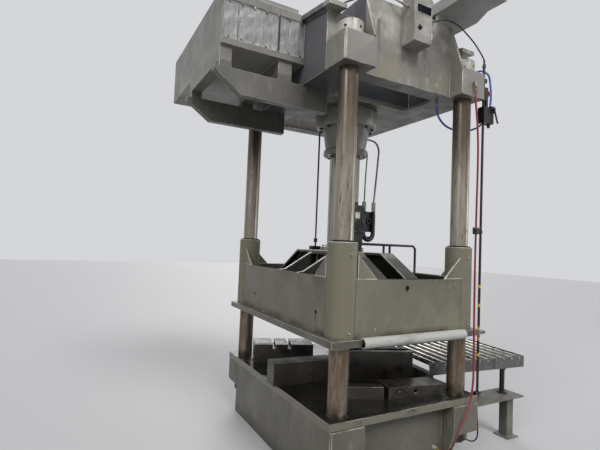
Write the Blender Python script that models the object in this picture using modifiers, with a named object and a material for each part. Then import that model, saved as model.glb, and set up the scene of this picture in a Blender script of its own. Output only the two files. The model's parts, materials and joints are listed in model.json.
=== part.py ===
"""Four-column hydraulic press with its roller table, in metres, Z up, origin on the floor.

The base and the crown are the same weldment, one turned over: four corner blocks take the
columns, inner webs and end plates tie them, and the bays between are open. The slide runs on
the columns in four long sleeves and hangs on the ram.
"""
import math

import bmesh
import bpy
from mathutils import Matrix, Vector

for old in list(bpy.data.objects):
    bpy.data.objects.remove(old)

# driving dimensions of the press
COLUMN_X = 0.62
COLUMN_Y = 0.92
COLUMN_R = 0.0762
COLUMN_FOOT_Z = 0.165
COLUMN_TOP_Z = 3.515
BED_LOW_Z = 0.505
BED_TOP_Z = 0.561
BED_HALF_X = 0.76
BED_HALF_Y = 1.041
CROWN_LOW_Z = 3.15
CROWN_TOP_Z = 3.79
BLOCK_HEIGHT = 0.231
BLOCK_HALF = 0.1345
BLOCK_CHAMFER = 0.012
WEB_FACE_X = 0.487
WEB_THICK = 0.024
END_FACE_Y = 0.918
SIDE_FACE_X = 0.756
SIDE_THICK = 0.024
SIDE_END_Y = 0.795
CROSS_Y = 0.40
NUT_R = 0.102
NUT_TOP_Z = 3.497
SLIDE_LOW_Z = 1.126
SLIDE_PLATE_LOW_Z = 1.0725
SLIDE_PANEL_TOP_Z = 1.56
SLIDE_BEAM_TOP_Z = 1.75
SLEEVE_TOP_Z = 1.83
SLEEVE_R = 0.113
SLIDE_SIDE_X = 0.704
SLIDE_END_Y = 1.013
PANEL_THICK = 0.020
RAM_R = 0.1525
ROUND_STEPS = 24

# clearances: GAP parts two touching solids, RUN parts a sliding fit
GAP = 0.0003
RUN = 0.0006

SCENE = bpy.context.scene
PARTS = bpy.data.collections.new("hydraulic_press")
TOOLS = bpy.data.collections.new("cutters_and_joins")
SCENE.collection.children.link(PARTS)
SCENE.collection.children.link(TOOLS)


def material(name, color, roughness, metallic=0.0):
    mat = bpy.data.materials.new(name)
    mat.use_nodes = True
    shader = mat.node_tree.nodes["Principled BSDF"]
    shader.inputs["Base Color"].default_value = (*color, 1.0)
    shader.inputs["Roughness"].default_value = roughness
    shader.inputs["Metallic"].default_value = metallic
    mat.diffuse_color = (*color, 1.0)
    return mat


PAINT = (0.175, 0.160, 0.135)
PAINT_LIGHT = (0.235, 0.225, 0.200)
STEEL = (0.300, 0.270, 0.235)
DARK = (0.030, 0.028, 0.026)
BLACK = (0.012, 0.012, 0.014)


def evaluated_mesh(obj):
    bpy.context.view_layer.update()
    graph = bpy.context.evaluated_depsgraph_get()
    mesh = bpy.data.meshes.new_from_object(obj.evaluated_get(graph))
    mesh.transform(obj.matrix_world)
    data = obj.data
    bpy.data.objects.remove(obj)
    if isinstance(data, bpy.types.Curve):
        bpy.data.curves.remove(data)
    bm = bmesh.new()
    bm.from_mesh(mesh)
    bmesh.ops.remove_doubles(bm, verts=bm.verts, dist=0.00001)
    bmesh.ops.dissolve_degenerate(bm, edges=bm.edges, dist=0.000001)
    bmesh.ops.recalc_face_normals(bm, faces=bm.faces)
    bm.to_mesh(mesh)
    bm.free()
    return mesh


def box(x0, x1, y0, y1, z0, z1):
    bm = bmesh.new()
    size = Matrix.Diagonal((x1 - x0, y1 - y0, z1 - z0, 1.0))
    middle = Matrix.Translation(((x0 + x1) / 2, (y0 + y1) / 2, (z0 + z1) / 2))
    bmesh.ops.create_cube(bm, size=1.0, matrix=middle @ size)
    mesh = bpy.data.meshes.new("box")
    bm.to_mesh(mesh)
    bm.free()
    return mesh


def turned_box(length, depth, z0, z1, corner, angle):
    mesh = box(0.0, length, 0.0, depth, z0, z1)
    mesh.transform(Matrix.Translation((*corner, 0.0)) @ Matrix.Rotation(angle, 4, "Z"))
    return mesh


def rod(start, end, radius, steps=16, end_radius=None):
    a = Vector(start)
    b = Vector(end)
    bm = bmesh.new()
    turn = (b - a).to_track_quat("Z", "Y").to_matrix().to_4x4()
    place = Matrix.Translation((a + b) / 2) @ turn
    bmesh.ops.create_cone(
        bm,
        cap_ends=True,
        segments=steps,
        radius1=radius,
        radius2=radius if end_radius is None else end_radius,
        depth=(b - a).length,
        matrix=place,
    )
    mesh = bpy.data.meshes.new("rod")
    bm.to_mesh(mesh)
    bm.free()
    return mesh


def turned(profile, steps=ROUND_STEPS, place=None):
    """Revolve a profile of (radius, height) points round Z; it runs down the outer side."""
    mesh = bpy.data.meshes.new("profile")
    points = [(r, 0.0, z) for r, z in profile]
    mesh.from_pydata(points, [(i, i + 1) for i in range(len(points) - 1)], [])
    obj = bpy.data.objects.new("profile", mesh)
    TOOLS.objects.link(obj)
    screw = obj.modifiers.new("turn", "SCREW")
    screw.steps = steps
    screw.render_steps = steps
    screw.use_merge_vertices = True
    screw.merge_threshold = 0.00001
    result = evaluated_mesh(obj)
    bpy.data.meshes.remove(mesh)
    if place is not None:
        result.transform(place)
    return result


def outline(points, lo, hi, plane="XY"):
    """Extrude a flat outline: XY along Z, YZ along X, XZ along Y, from lo to hi."""
    curve = bpy.data.curves.new("outline", "CURVE")
    curve.dimensions = "2D"
    curve.fill_mode = "BOTH"
    curve.extrude = (hi - lo) / 2
    spline = curve.splines.new("POLY")
    spline.points.add(len(points) - 1)
    for spot, point in zip(spline.points, points):
        spot.co = (point[0], point[1], 0.0, 1.0)
    spline.use_cyclic_u = True
    obj = bpy.data.objects.new("outline", curve)
    TOOLS.objects.link(obj)
    mesh = evaluated_mesh(obj)
    middle = (lo + hi) / 2
    if plane == "XY":
        mesh.transform(Matrix.Translation((0.0, 0.0, middle)))
    elif plane == "YZ":
        turn = Matrix(((0, 0, 1, middle), (1, 0, 0, 0), (0, 1, 0, 0), (0, 0, 0, 1)))
        mesh.transform(turn)
    else:
        turn = Matrix(((1, 0, 0, 0), (0, 0, -1, middle), (0, 1, 0, 0), (0, 0, 0, 1)))
        mesh.transform(turn)
    return mesh


def smooth_route(points, spacing, lead=0.005):
    """Points every spacing metres along a smooth curve through the route's own points.

    The first and last few millimetres run straight, so that each end is cut square.
    """
    route = [Vector(p) for p in points]
    ends = [route[0] * 2 - route[1]] + route + [route[-1] * 2 - route[-2]]
    fine = []
    for i in range(1, len(ends) - 2):
        p0, p1, p2, p3 = ends[i - 1:i + 3]
        before, span, after = (p1 - p0).length, (p2 - p1).length, (p3 - p2).length
        slope_1 = (p1 - p0) * span / before - (p2 - p0) * span / (before + span) + (p2 - p1)
        slope_2 = (p3 - p2) * span / after - (p3 - p1) * span / (after + span) + (p2 - p1)
        for step in range(24):
            t = step / 24
            fine.append(
                p1 * (1 - 3 * t * t + 2 * t ** 3)
                + p2 * (3 * t * t - 2 * t ** 3)
                + slope_1 * (t - 2 * t * t + t ** 3)
                + slope_2 * (t ** 3 - t * t)
            )
    fine.append(route[-1])
    total = sum((b - a).length for a, b in zip(fine, fine[1:]))
    count = max(2, round(total / spacing))
    result = [fine[0]]
    walked = 0.0
    target = total / count
    for a, b in zip(fine, fine[1:]):
        length = (b - a).length
        while walked + length >= target - 1e-9 and len(result) < count:
            result.append(a + (b - a) * ((target - walked) / length))
            target += total / count
        walked += length
    result.append(fine[-1])
    start_way = (route[1] - route[0]).normalized()
    end_way = (route[-2] - route[-1]).normalized()
    result.insert(1, route[0] + start_way * lead)
    result.insert(-1, route[-1] + end_way * lead)
    return result


def tube(points, radius, resolution=2):
    curve = bpy.data.curves.new("tube", "CURVE")
    curve.dimensions = "3D"
    curve.bevel_depth = radius
    curve.bevel_resolution = resolution
    curve.use_fill_caps = True
    spline = curve.splines.new("POLY")
    spline.points.add(len(points) - 1)
    for spot, point in zip(spline.points, points):
        spot.co = (*point, 1.0)
    obj = bpy.data.objects.new("tube", curve)
    TOOLS.objects.link(obj)
    return evaluated_mesh(obj)


def helper_group(name, meshes):
    group = bpy.data.collections.new(name)
    group.hide_render = True
    TOOLS.children.link(group)
    for number, mesh in enumerate(meshes):
        obj = bpy.data.objects.new(f"{name}_{number}", mesh)
        obj.hide_render = True
        obj.display_type = "WIRE"
        group.objects.link(obj)
    return group


def part(name, mat, base, joins=(), cuts=(), origin=None, smooth=None):
    """One sub-part: the base shape, the shapes welded to it and the shapes cut from it."""
    obj = bpy.data.objects.new(name, base)
    obj.data.name = name
    if origin is not None:
        base.transform(Matrix.Translation(-Vector(origin)))
        obj.location = origin
    PARTS.objects.link(obj)
    base.materials.clear()
    base.materials.append(mat)
    if joins:
        union = obj.modifiers.new("weld", "BOOLEAN")
        union.operation = "UNION"
        union.solver = "EXACT"
        union.operand_type = "COLLECTION"
        union.collection = helper_group(f"join_{name}", joins)
    if cuts:
        bore = obj.modifiers.new("cut", "BOOLEAN")
        bore.operation = "DIFFERENCE"
        bore.solver = "EXACT"
        bore.operand_type = "COLLECTION"
        bore.collection = helper_group(f"cut_{name}", cuts)
    if smooth is not None:
        base.shade_smooth()
        base.set_sharp_from_angle(angle=math.radians(smooth))
    return obj


def four_corners():
    for x_name, sx in (("left", -1), ("right", 1)):
        for y_name, sy in (("front", -1), ("rear", 1)):
            yield f"{y_name}_{x_name}", sx, sy


paint = material("press_paint", PAINT, 0.45)
crown_paint = material("crown_paint", PAINT_LIGHT, 0.45)
bed_steel = material("bed_steel", DARK, 0.40, 0.6)
column_steel = material("column_steel", STEEL, 0.32, 0.9)
ram_steel = material("ram_steel", (0.45, 0.44, 0.42), 0.18, 1.0)
black_steel = material("black_steel", BLACK, 0.40, 0.3)
galvanised = material("galvanised_sheet", (0.55, 0.56, 0.57), 0.42, 0.7)
box_grey = material("control_box_grey", (0.33, 0.32, 0.29), 0.50)
hose_black = material("hose_black", (0.010, 0.010, 0.011), 0.55)
hose_red = material("hose_red", (0.38, 0.015, 0.030), 0.45)
hose_blue = material("hose_blue", (0.02, 0.05, 0.28), 0.45)
knob_red = material("knob_red", (0.50, 0.02, 0.02), 0.40)
roller_steel = material("roller_steel", (0.42, 0.41, 0.39), 0.35, 0.9)
tool_steel = material("tool_steel", (0.060, 0.054, 0.048), 0.42, 0.7)
guard_grey = material("guard_grey", (0.36, 0.38, 0.34), 0.60)
brass = material("fitting_brass", (0.42, 0.30, 0.14), 0.38, 0.9)

# corner blocks, webs and end plates, shared by the crown and the base
BLOCK_IN_X = WEB_FACE_X
BLOCK_OUT_X = SIDE_FACE_X
BLOCK_FRONT_Y = COLUMN_Y + BLOCK_HALF
BLOCK_BACK_Y = COLUMN_Y - BLOCK_HALF
WEB_TOP_Y = 0.908
BORE_R = COLUMN_R + GAP


def corner_block(sx, sy, z0, z1):
    chamfer = BLOCK_CHAMFER
    ring = [
        (sx * (BLOCK_IN_X - 0.002), sy * BLOCK_BACK_Y),
        (sx * BLOCK_OUT_X, sy * BLOCK_BACK_Y),
        (sx * BLOCK_OUT_X, sy * (BLOCK_FRONT_Y - chamfer)),
        (sx * (BLOCK_OUT_X - chamfer), sy * BLOCK_FRONT_Y),
        (sx * (BLOCK_IN_X - 0.002), sy * BLOCK_FRONT_Y),
    ]
    return outline(ring, z0, z1)


def weldment_plates(level, block_end, far, side_far, side_mid):
    """Plates of a crown or base. level is the face towards the slide, far the other end."""
    way = 1 if far > level else -1
    plates = []
    skin = level + way * 0.025
    web_end = block_end - way * 0.002
    web_far_y = WEB_TOP_Y if abs(far - level) > 0.55 else 0.958
    for sx in (-1, 1):
        lo, hi = sorted((sx * (WEB_FACE_X - WEB_THICK), sx * WEB_FACE_X))
        web = [
            (-BLOCK_FRONT_Y, level),
            (BLOCK_FRONT_Y, level),
            (BLOCK_FRONT_Y, web_end),
            (web_far_y, far),
            (-web_far_y, far),
            (-BLOCK_FRONT_Y, web_end),
        ]
        plates.append(outline(web, lo, hi, "YZ"))
        lo, hi = sorted((sx * (SIDE_FACE_X - SIDE_THICK), sx * SIDE_FACE_X))
        side = [
            (-SIDE_END_Y, level),
            (SIDE_END_Y, level),
            (SIDE_END_Y, side_far),
            (0.46, side_mid),
            (-0.46, side_mid),
            (-SIDE_END_Y, side_far),
        ]
        plates.append(outline(side, lo, hi, "YZ"))
        lo, hi = sorted((sx * 0.412, sx * SIDE_FACE_X))
        z0, z1 = sorted((level, skin))
        plates.append(box(lo, hi, -SIDE_END_Y, SIDE_END_Y, z0, z1))
    for sy in (-1, 1):
        y0, y1 = sorted((sy * END_FACE_Y, sy * (END_FACE_Y - 0.024)))
        z0, z1 = sorted((level, far))
        inner = WEB_FACE_X - WEB_THICK / 2
        plates.append(box(-inner, inner, y0, y1, z0, z1))
        y0, y1 = sorted((sy * END_FACE_Y, sy * 0.77))
        z0, z1 = sorted((level, skin))
        plates.append(box(-inner, inner, y0, y1, z0, z1))
        y0, y1 = sorted((sy * CROSS_Y, sy * (CROSS_Y - 0.030)))
        z0, z1 = sorted((level, far - way * 0.03))
        plates.append(box(-inner, inner, y0, y1, z0, z1))
        for sx in (-1, 1):
            x0, x1 = sorted((sx * (WEB_FACE_X - 0.005), sx * (SIDE_FACE_X - 0.0005)))
            y0, y1 = sorted((sy * SIDE_END_Y, sy * (SIDE_END_Y - 0.020)))
            z0, z1 = sorted((level, side_far))
            plates.append(box(x0, x1, y0, y1, z0, z1))
    return plates


def side_flange(level, rise, thick, inner_x, outer_x, front_y):
    """Sloping flange that caps an outer web, outlined in YZ and run across X."""
    ring = [
        (-front_y, level - (front_y - SIDE_END_Y) * 0.16),
        (-0.46, level + rise),
        (0.46, level + rise),
        (front_y, level - (front_y - SIDE_END_Y) * 0.16),
        (front_y, level - (front_y - SIDE_END_Y) * 0.16 + thick),
        (0.46, level + rise + thick),
        (-0.46, level + rise + thick),
        (-front_y, level - (front_y - SIDE_END_Y) * 0.16 + thick),
    ]
    meshes = []
    for sx in (-1, 1):
        lo, hi = sorted((sx * inner_x, sx * outer_x))
        meshes.append(outline(ring, lo, hi, "YZ"))
    return meshes


def column_bores(z0, z1):
    return [
        rod((sx * COLUMN_X, sy * COLUMN_Y, z0), (sx * COLUMN_X, sy * COLUMN_Y, z1), BORE_R, ROUND_STEPS)
        for _, sx, sy in four_corners()
    ]


# elbows and bosses that the hoses end at; each one's last face is where its hose leaves
RED_PORT = (0.600, -1.080, 3.228)
RED_ELBOW_Z = 3.262
BLUE_PORT = (0.798, -0.860, 3.374)
BLUE_ELBOW_Z = 3.340
BASE_PORT = (0.380, -0.948, 0.140)
TAIL_PORT = (SIDE_FACE_X + 0.020, -0.730, 0.100)

# base weldment, standing on the floor
BASE_BLOCK_LOW_Z = 0.27
base_shapes = weldment_plates(BED_LOW_Z - GAP, BASE_BLOCK_LOW_Z, 0.0, 0.0, 0.0)
for _, sx, sy in four_corners():
    base_shapes.append(corner_block(sx, sy, BASE_BLOCK_LOW_Z, BED_LOW_Z - GAP))
inner_x = WEB_FACE_X - 0.005
base_shapes.append(box(-inner_x, inner_x, -0.30, 0.30, BED_LOW_Z - GAP - 0.040, BED_LOW_Z - GAP))
base_shapes.append(box(-inner_x, inner_x, -0.22, 0.22, 0.0, 0.030))
for sx in (-1, 1):
    for near_x, far_x in ((0.42, 0.53), (0.65, 0.756)):
        x0, x1 = sorted((sx * near_x, sx * far_x))
        base_shapes.append(box(x0, x1, -0.79, 0.79, 0.0, 0.025))
base_shapes.append(rod((BASE_PORT[0], -0.910, BASE_PORT[2]), BASE_PORT, 0.016, 8))
base_shapes.append(rod((0.750, TAIL_PORT[1], TAIL_PORT[2]), TAIL_PORT, 0.014, 8))
part(
    "base_frame",
    paint,
    base_shapes[0],
    base_shapes[1:],
    column_bores(BASE_BLOCK_LOW_Z - 0.05, BED_LOW_Z + 0.05),
)

# bed plate
part(
    "bed_plate",
    bed_steel,
    box(-BED_HALF_X, BED_HALF_X, -BED_HALF_Y, BED_HALF_Y, BED_LOW_Z, BED_TOP_Z),
    cuts=column_bores(BED_LOW_Z - 0.05, BED_TOP_Z + 0.05),
)

# crown weldment
crown_shapes = weldment_plates(CROWN_LOW_Z, CROWN_LOW_Z + BLOCK_HEIGHT, CROWN_TOP_Z, 3.640, 3.692)
for _, sx, sy in four_corners():
    crown_shapes.append(corner_block(sx, sy, CROWN_LOW_Z, CROWN_LOW_Z + BLOCK_HEIGHT))
crown_shapes.append(box(-inner_x, inner_x, -CROSS_Y, CROSS_Y, CROWN_LOW_Z, CROWN_LOW_Z + 0.040))
crown_shapes += side_flange(3.638, 0.052, 0.040, 0.640, 0.800, 0.894)
CYLINDER_R = 0.215
ROD_X = -0.12
ROD_Y = 0.32
ROD_R = 0.009
crown_cuts = column_bores(CROWN_LOW_Z - 0.05, CROWN_LOW_Z + BLOCK_HEIGHT + 0.05)
crown_cuts.append(rod((0, 0, CROWN_LOW_Z - 0.05), (0, 0, CROWN_LOW_Z + 0.10), CYLINDER_R + GAP, ROUND_STEPS))
crown_cuts.append(
    rod((ROD_X, ROD_Y, CROWN_LOW_Z - 0.05), (ROD_X, ROD_Y, CROWN_LOW_Z + 0.10), ROD_R + 0.006, 16)
)
for port, elbow_z, inner_end in (
    (RED_PORT, RED_ELBOW_Z, (RED_PORT[0], -1.045, RED_ELBOW_Z)),
    (BLUE_PORT, BLUE_ELBOW_Z, (0.750, BLUE_PORT[1], BLUE_ELBOW_Z)),
):
    beyond = 0.018 if elbow_z > port[2] else -0.018
    crown_shapes.append(rod(inner_end, (port[0], port[1], elbow_z), 0.012, 8))
    crown_shapes.append(rod((port[0], port[1], elbow_z + beyond), port, 0.016, 8))
part("crown_frame", crown_paint, crown_shapes[0], crown_shapes[1:], crown_cuts)


# columns with their lower nuts, and the nuts above the crown blocks
def nut_profile(radius, bore, low, high):
    edge = 0.006
    return [
        (bore, high),
        (radius - edge, high),
        (radius, high - edge),
        (radius, low + edge),
        (radius - edge, low),
        (bore, low),
        (bore, high),
    ]


def tommy_holes(low, high, count, first):
    holes = []
    for number in range(count):
        angle = first + number * 2 * math.pi / count
        way = Vector((math.cos(angle), math.sin(angle), 0.0))
        middle = Vector((0, 0, (low + high) / 2))
        holes.append(rod(middle + way * 0.088, middle + way * 0.130, 0.011, 10))
    return holes


def shifted(meshes, x, y):
    for mesh in meshes:
        mesh.transform(Matrix.Translation((x, y, 0.0)))
    return meshes


BLOCK_TOP_Z = CROWN_LOW_Z + BLOCK_HEIGHT
for corner, sx, sy in four_corners():
    x = sx * COLUMN_X
    y = sy * COLUMN_Y
    profile = [
        (0.0, COLUMN_TOP_Z),
        (COLUMN_R - 0.006, COLUMN_TOP_Z),
        (COLUMN_R, COLUMN_TOP_Z - 0.006),
        (COLUMN_R, BASE_BLOCK_LOW_Z - GAP),
        (NUT_R - 0.006, BASE_BLOCK_LOW_Z - GAP),
        (NUT_R, BASE_BLOCK_LOW_Z - GAP - 0.006),
        (NUT_R, 0.196),
        (NUT_R - 0.006, 0.190),
        (COLUMN_R, 0.190),
        (COLUMN_R, COLUMN_FOOT_Z),
        (0.0, COLUMN_FOOT_Z),
    ]
    part(
        f"column_{corner}",
        column_steel,
        turned(profile, place=Matrix.Translation((x, y, 0.0))),
        cuts=shifted(tommy_holes(0.19, 0.27, 3, math.radians(-75)), x, y),
        smooth=30,
    )
    split = box(-0.0015, 0.0015, 0.0, 0.2, NUT_TOP_Z - 0.03, NUT_TOP_Z + 0.02)
    split.transform(Matrix.Rotation(math.radians(180 - 28), 4, "Z"))
    part(
        f"crown_nut_{corner}",
        paint,
        shifted([turned(nut_profile(NUT_R, COLUMN_R + GAP, BLOCK_TOP_Z + GAP, NUT_TOP_Z))], x, y)[0],
        cuts=shifted(tommy_holes(BLOCK_TOP_Z, NUT_TOP_Z, 5, math.radians(-149)) + [split], x, y),
        smooth=30,
    )

# cylinder: flange under the crown, tapering body below, barrel up inside the crown
BORE_TOP_Z = 3.56
RAM_BORE_R = RAM_R + RUN
cylinder_profile = [
    (0.0, 3.640),
    (0.195, 3.640),
    (CYLINDER_R, 3.620),
    (CYLINDER_R, CROWN_LOW_Z - GAP),
    (0.304, CROWN_LOW_Z - GAP),
    (0.310, CROWN_LOW_Z - GAP - 0.006),
    (0.310, 3.030),
    (0.300, 2.985),
    (0.285, 2.975),
    (0.236, 2.975),
    (0.200, 2.762),
    (RAM_BORE_R, 2.762),
    (RAM_BORE_R, BORE_TOP_Z),
    (0.0, BORE_TOP_Z),
    (0.0, 3.640),
]
SUPPLY_PORT = (0.2330, 0.030, 2.925)
PILOT_PORT = (0.2220, -0.030, 2.800)
cylinder_ports = [
    rod((0.200, SUPPLY_PORT[1], SUPPLY_PORT[2]), SUPPLY_PORT, 0.022, 12),
    rod((0.175, PILOT_PORT[1], PILOT_PORT[2]), PILOT_PORT, 0.012, 8),
]
part("cylinder", crown_paint, turned(cylinder_profile[:-1]), cylinder_ports, smooth=30)

# gland ring with its cap screws
gland = turned(
    [
        (RAM_BORE_R, 2.762 - GAP),
        (0.214, 2.762 - GAP),
        (0.220, 2.756),
        (0.220, 2.712),
        (0.214, 2.706),
        (RAM_BORE_R, 2.706),
        (RAM_BORE_R, 2.762 - GAP),
    ]
)
screws = []
for number in range(10):
    angle = math.radians(36 * number + 9)
    x = 0.190 * math.cos(angle)
    y = 0.190 * math.sin(angle)
    screws.append(rod((x, y, 2.696), (x, y, 2.710), 0.010, 8))
part("gland_ring", paint, gland, screws, smooth=30)

# ram with the flange that bolts to the slide
RAM_FLANGE_Z = SLIDE_BEAM_TOP_Z + GAP
ram = turned(
    [
        (0.0, 3.10),
        (RAM_R - 0.008, 3.10),
        (RAM_R, 3.092),
        (RAM_R, 1.790),
        (0.215, 1.790),
        (0.220, 1.785),
        (0.220, RAM_FLANGE_Z),
        (0.0, RAM_FLANGE_Z),
    ]
)
ram_bolts = []
for number in range(8):
    angle = math.radians(45 * number + 22.5)
    x = 0.188 * math.cos(angle)
    y = 0.188 * math.sin(angle)
    ram_bolts.append(rod((x, y, 1.785), (x, y, 1.806), 0.013, 6))
part("ram", ram_steel, ram, ram_bolts, smooth=30)

# slide weldment: sleeves, panels, two long beams and four thin ribs
slide_shapes = []
slide_cuts = []
for corner, sx, sy in four_corners():
    x = sx * COLUMN_X
    y = sy * COLUMN_Y
    slide_shapes.append(rod((x, y, SLIDE_LOW_Z), (x, y, SLEEVE_TOP_Z), SLEEVE_R, ROUND_STEPS))
    slide_cuts.append(rod((x, y, SLIDE_LOW_Z - 0.05), (x, y, SLEEVE_TOP_Z + 0.05), COLUMN_R + RUN, ROUND_STEPS))
    foot_y = sy * (COLUMN_Y - SLEEVE_R - 0.15)
    high_y = sy * (COLUMN_Y - SLEEVE_R + 0.02)
    gusset = [
        (foot_y, SLIDE_PANEL_TOP_Z - 0.02),
        (foot_y, SLIDE_PANEL_TOP_Z),
        (high_y, SLIDE_PANEL_TOP_Z + 0.17),
        (high_y, SLIDE_PANEL_TOP_Z - 0.02),
    ]
    lo, hi = sorted((sx * (SLIDE_SIDE_X - 0.001), sx * (SLIDE_SIDE_X - 0.017)))
    slide_shapes.append(outline(gusset, lo, hi, "YZ"))
    foot_x = sx * (COLUMN_X - SLEEVE_R - 0.15)
    high_x = sx * (COLUMN_X - SLEEVE_R + 0.03)
    gusset = [
        (foot_x, SLIDE_PANEL_TOP_Z - 0.02),
        (foot_x, SLIDE_PANEL_TOP_Z),
        (high_x, SLIDE_PANEL_TOP_Z + 0.18),
        (high_x, SLIDE_PANEL_TOP_Z - 0.02),
    ]
    lo, hi = sorted((sy * (SLIDE_END_Y - 0.001), sy * (SLIDE_END_Y - 0.017)))
    slide_shapes.append(outline(gusset, lo, hi, "XZ"))
for side in (-1, 1):
    lo, hi = sorted((side * SLIDE_SIDE_X, side * (SLIDE_SIDE_X - PANEL_THICK)))
    slide_shapes.append(box(lo, hi, -COLUMN_Y, COLUMN_Y, SLIDE_LOW_Z, SLIDE_PANEL_TOP_Z))
    lo, hi = sorted((side * SLIDE_END_Y, side * (SLIDE_END_Y - PANEL_THICK)))
    slide_shapes.append(box(-COLUMN_X, COLUMN_X, lo, hi, SLIDE_LOW_Z, SLIDE_PANEL_TOP_Z))

BEAM_FLAT_Y = 0.48
BEAM_FOOT_Y = 0.83
BEAM_FOOT_Z = 1.54
end_inner_y = SLIDE_END_Y - PANEL_THICK + 0.002
slope_end_z = BEAM_FOOT_Z - (end_inner_y - BEAM_FOOT_Y) * 0.6
beam_top = [
    (-end_inner_y, slope_end_z),
    (-BEAM_FLAT_Y, SLIDE_BEAM_TOP_Z),
    (BEAM_FLAT_Y, SLIDE_BEAM_TOP_Z),
    (end_inner_y, slope_end_z),
]
beam_under = [(a, b - 0.022) for a, b in reversed(beam_top)]
for side in (-1, 1):
    lo, hi = sorted((side * 0.100, side * 0.250))
    slide_shapes.append(outline(beam_top + beam_under, lo, hi, "YZ"))
    lo, hi = sorted((side * 0.165, side * 0.185))
    web = [(-end_inner_y, SLIDE_LOW_Z)] + [(a, b - 0.005) for a, b in beam_top]
    web.append((end_inner_y, SLIDE_LOW_Z))
    slide_shapes.append(outline(web, lo, hi, "YZ"))
    rib_low_x = SLIDE_SIDE_X - PANEL_THICK + 0.002
    for sy in (-1, 1):
        lo, hi = sorted((sy * 0.166, sy * 0.194))
        rib = [
            (side * 0.170, SLIDE_LOW_Z),
            (side * 0.170, 1.725),
            (side * 0.262, 1.725),
            (side * 0.540, 1.558),
            (side * rib_low_x, 1.540),
            (side * rib_low_x, SLIDE_LOW_Z),
        ]
        slide_shapes.append(outline(rib, lo, hi, "XZ"))
slide_shapes.append(box(-0.250, 0.250, -0.24, 0.24, 1.715, SLIDE_BEAM_TOP_Z))
for y, z, r in ((0.523, 1.278, 0.013), (-0.706, 1.282, 0.011)):
    slide_cuts.append(rod((-SLIDE_SIDE_X - 0.02, y, z), (-SLIDE_SIDE_X + 0.05, y, z), r, 12))
slide_cuts.append(rod((-0.057, -SLIDE_END_Y - 0.02, 1.489), (-0.057, -SLIDE_END_Y + 0.05, 1.489), 0.010, 12))
part("slide_frame", paint, slide_shapes[0], slide_shapes[1:], slide_cuts)

# slide plate under the weldment, with the bracket that rides on the scale rod
SCALE_X = 0.805
SCALE_Y = -1.000
SCALE_R = 0.011
plate_cuts = [
    rod(
        (sx * COLUMN_X, sy * COLUMN_Y, 1.0),
        (sx * COLUMN_X, sy * COLUMN_Y, 1.2),
        COLUMN_R + RUN,
        ROUND_STEPS,
    )
    for _, sx, sy in four_corners()
]
plate_cuts.append(rod((SCALE_X, SCALE_Y, 1.0), (SCALE_X, SCALE_Y, 1.2), SCALE_R + 0.002, 16))
part(
    "slide_plate",
    paint,
    box(-0.767, 0.767, -1.042, 1.042, SLIDE_PLATE_LOW_Z, SLIDE_LOW_Z - GAP),
    [box(0.760, 0.850, -1.036, -0.964, 1.080, 1.108)],
    plate_cuts,
)

# soft tube pushed over the front edge of the slide plate
GUARD_LEFT_X = -0.505
GUARD_RIGHT_X = 0.560
GUARD_R = 0.042
GUARD_Y = -1.050
GUARD_Z = 1.0991
guard_lip_z = SLIDE_LOW_Z + GAP
guard_back_y = -1.042 - GAP
first = math.asin((guard_lip_z - GUARD_Z) / GUARD_R)
last = 2 * math.pi - math.acos((guard_back_y - GUARD_Y) / GUARD_R)
guard_ring = []
for step in range(19):
    angle = first + (last - first) * step / 18
    guard_ring.append((GUARD_Y + GUARD_R * math.cos(angle), GUARD_Z + GUARD_R * math.sin(angle)))
guard_ring.append((guard_back_y, guard_lip_z))
part(
    "edge_guard",
    guard_grey,
    outline(guard_ring, GUARD_LEFT_X, GUARD_RIGHT_X, "YZ"),
    cuts=[rod((COLUMN_X, -COLUMN_Y, 1.0), (COLUMN_X, -COLUMN_Y, 1.2), SLEEVE_R + 0.002, ROUND_STEPS)],
    smooth=40,
)

# position rod on the slide, and its guide clip on the cylinder flange
rod_foot = box(ROD_X - 0.055, ROD_X + 0.040, ROD_Y - 0.035, ROD_Y + 0.035, SLIDE_BEAM_TOP_Z + GAP, 1.790)
part(
    "indicator_rod",
    black_steel,
    rod_foot,
    [
        rod((ROD_X, ROD_Y, 1.780), (ROD_X, ROD_Y, 3.320), ROD_R, 16),
        rod((ROD_X, ROD_Y, 1.830), (ROD_X, ROD_Y, 1.870), 0.020, 12),
    ],
)
clip_angle = math.atan2(ROD_Y, ROD_X)
clip_reach = math.hypot(ROD_X, ROD_Y)
clip = box(0.314, clip_reach + 0.022, -0.020, 0.020, 3.060, 3.080)
clip.transform(Matrix.Rotation(clip_angle, 4, "Z"))
clip_leg = box(0.300, 0.318, -0.024, 0.024, 3.045, 3.125)
clip_leg.transform(Matrix.Rotation(clip_angle, 4, "Z"))
part(
    "rod_guide",
    black_steel,
    clip,
    [clip_leg],
    [
        rod((ROD_X, ROD_Y, 3.0), (ROD_X, ROD_Y, 3.15), ROD_R + 0.0015, 16),
        rod((0, 0, 3.0), (0, 0, 3.2), 0.310 + GAP, ROUND_STEPS),
    ],
)

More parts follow.
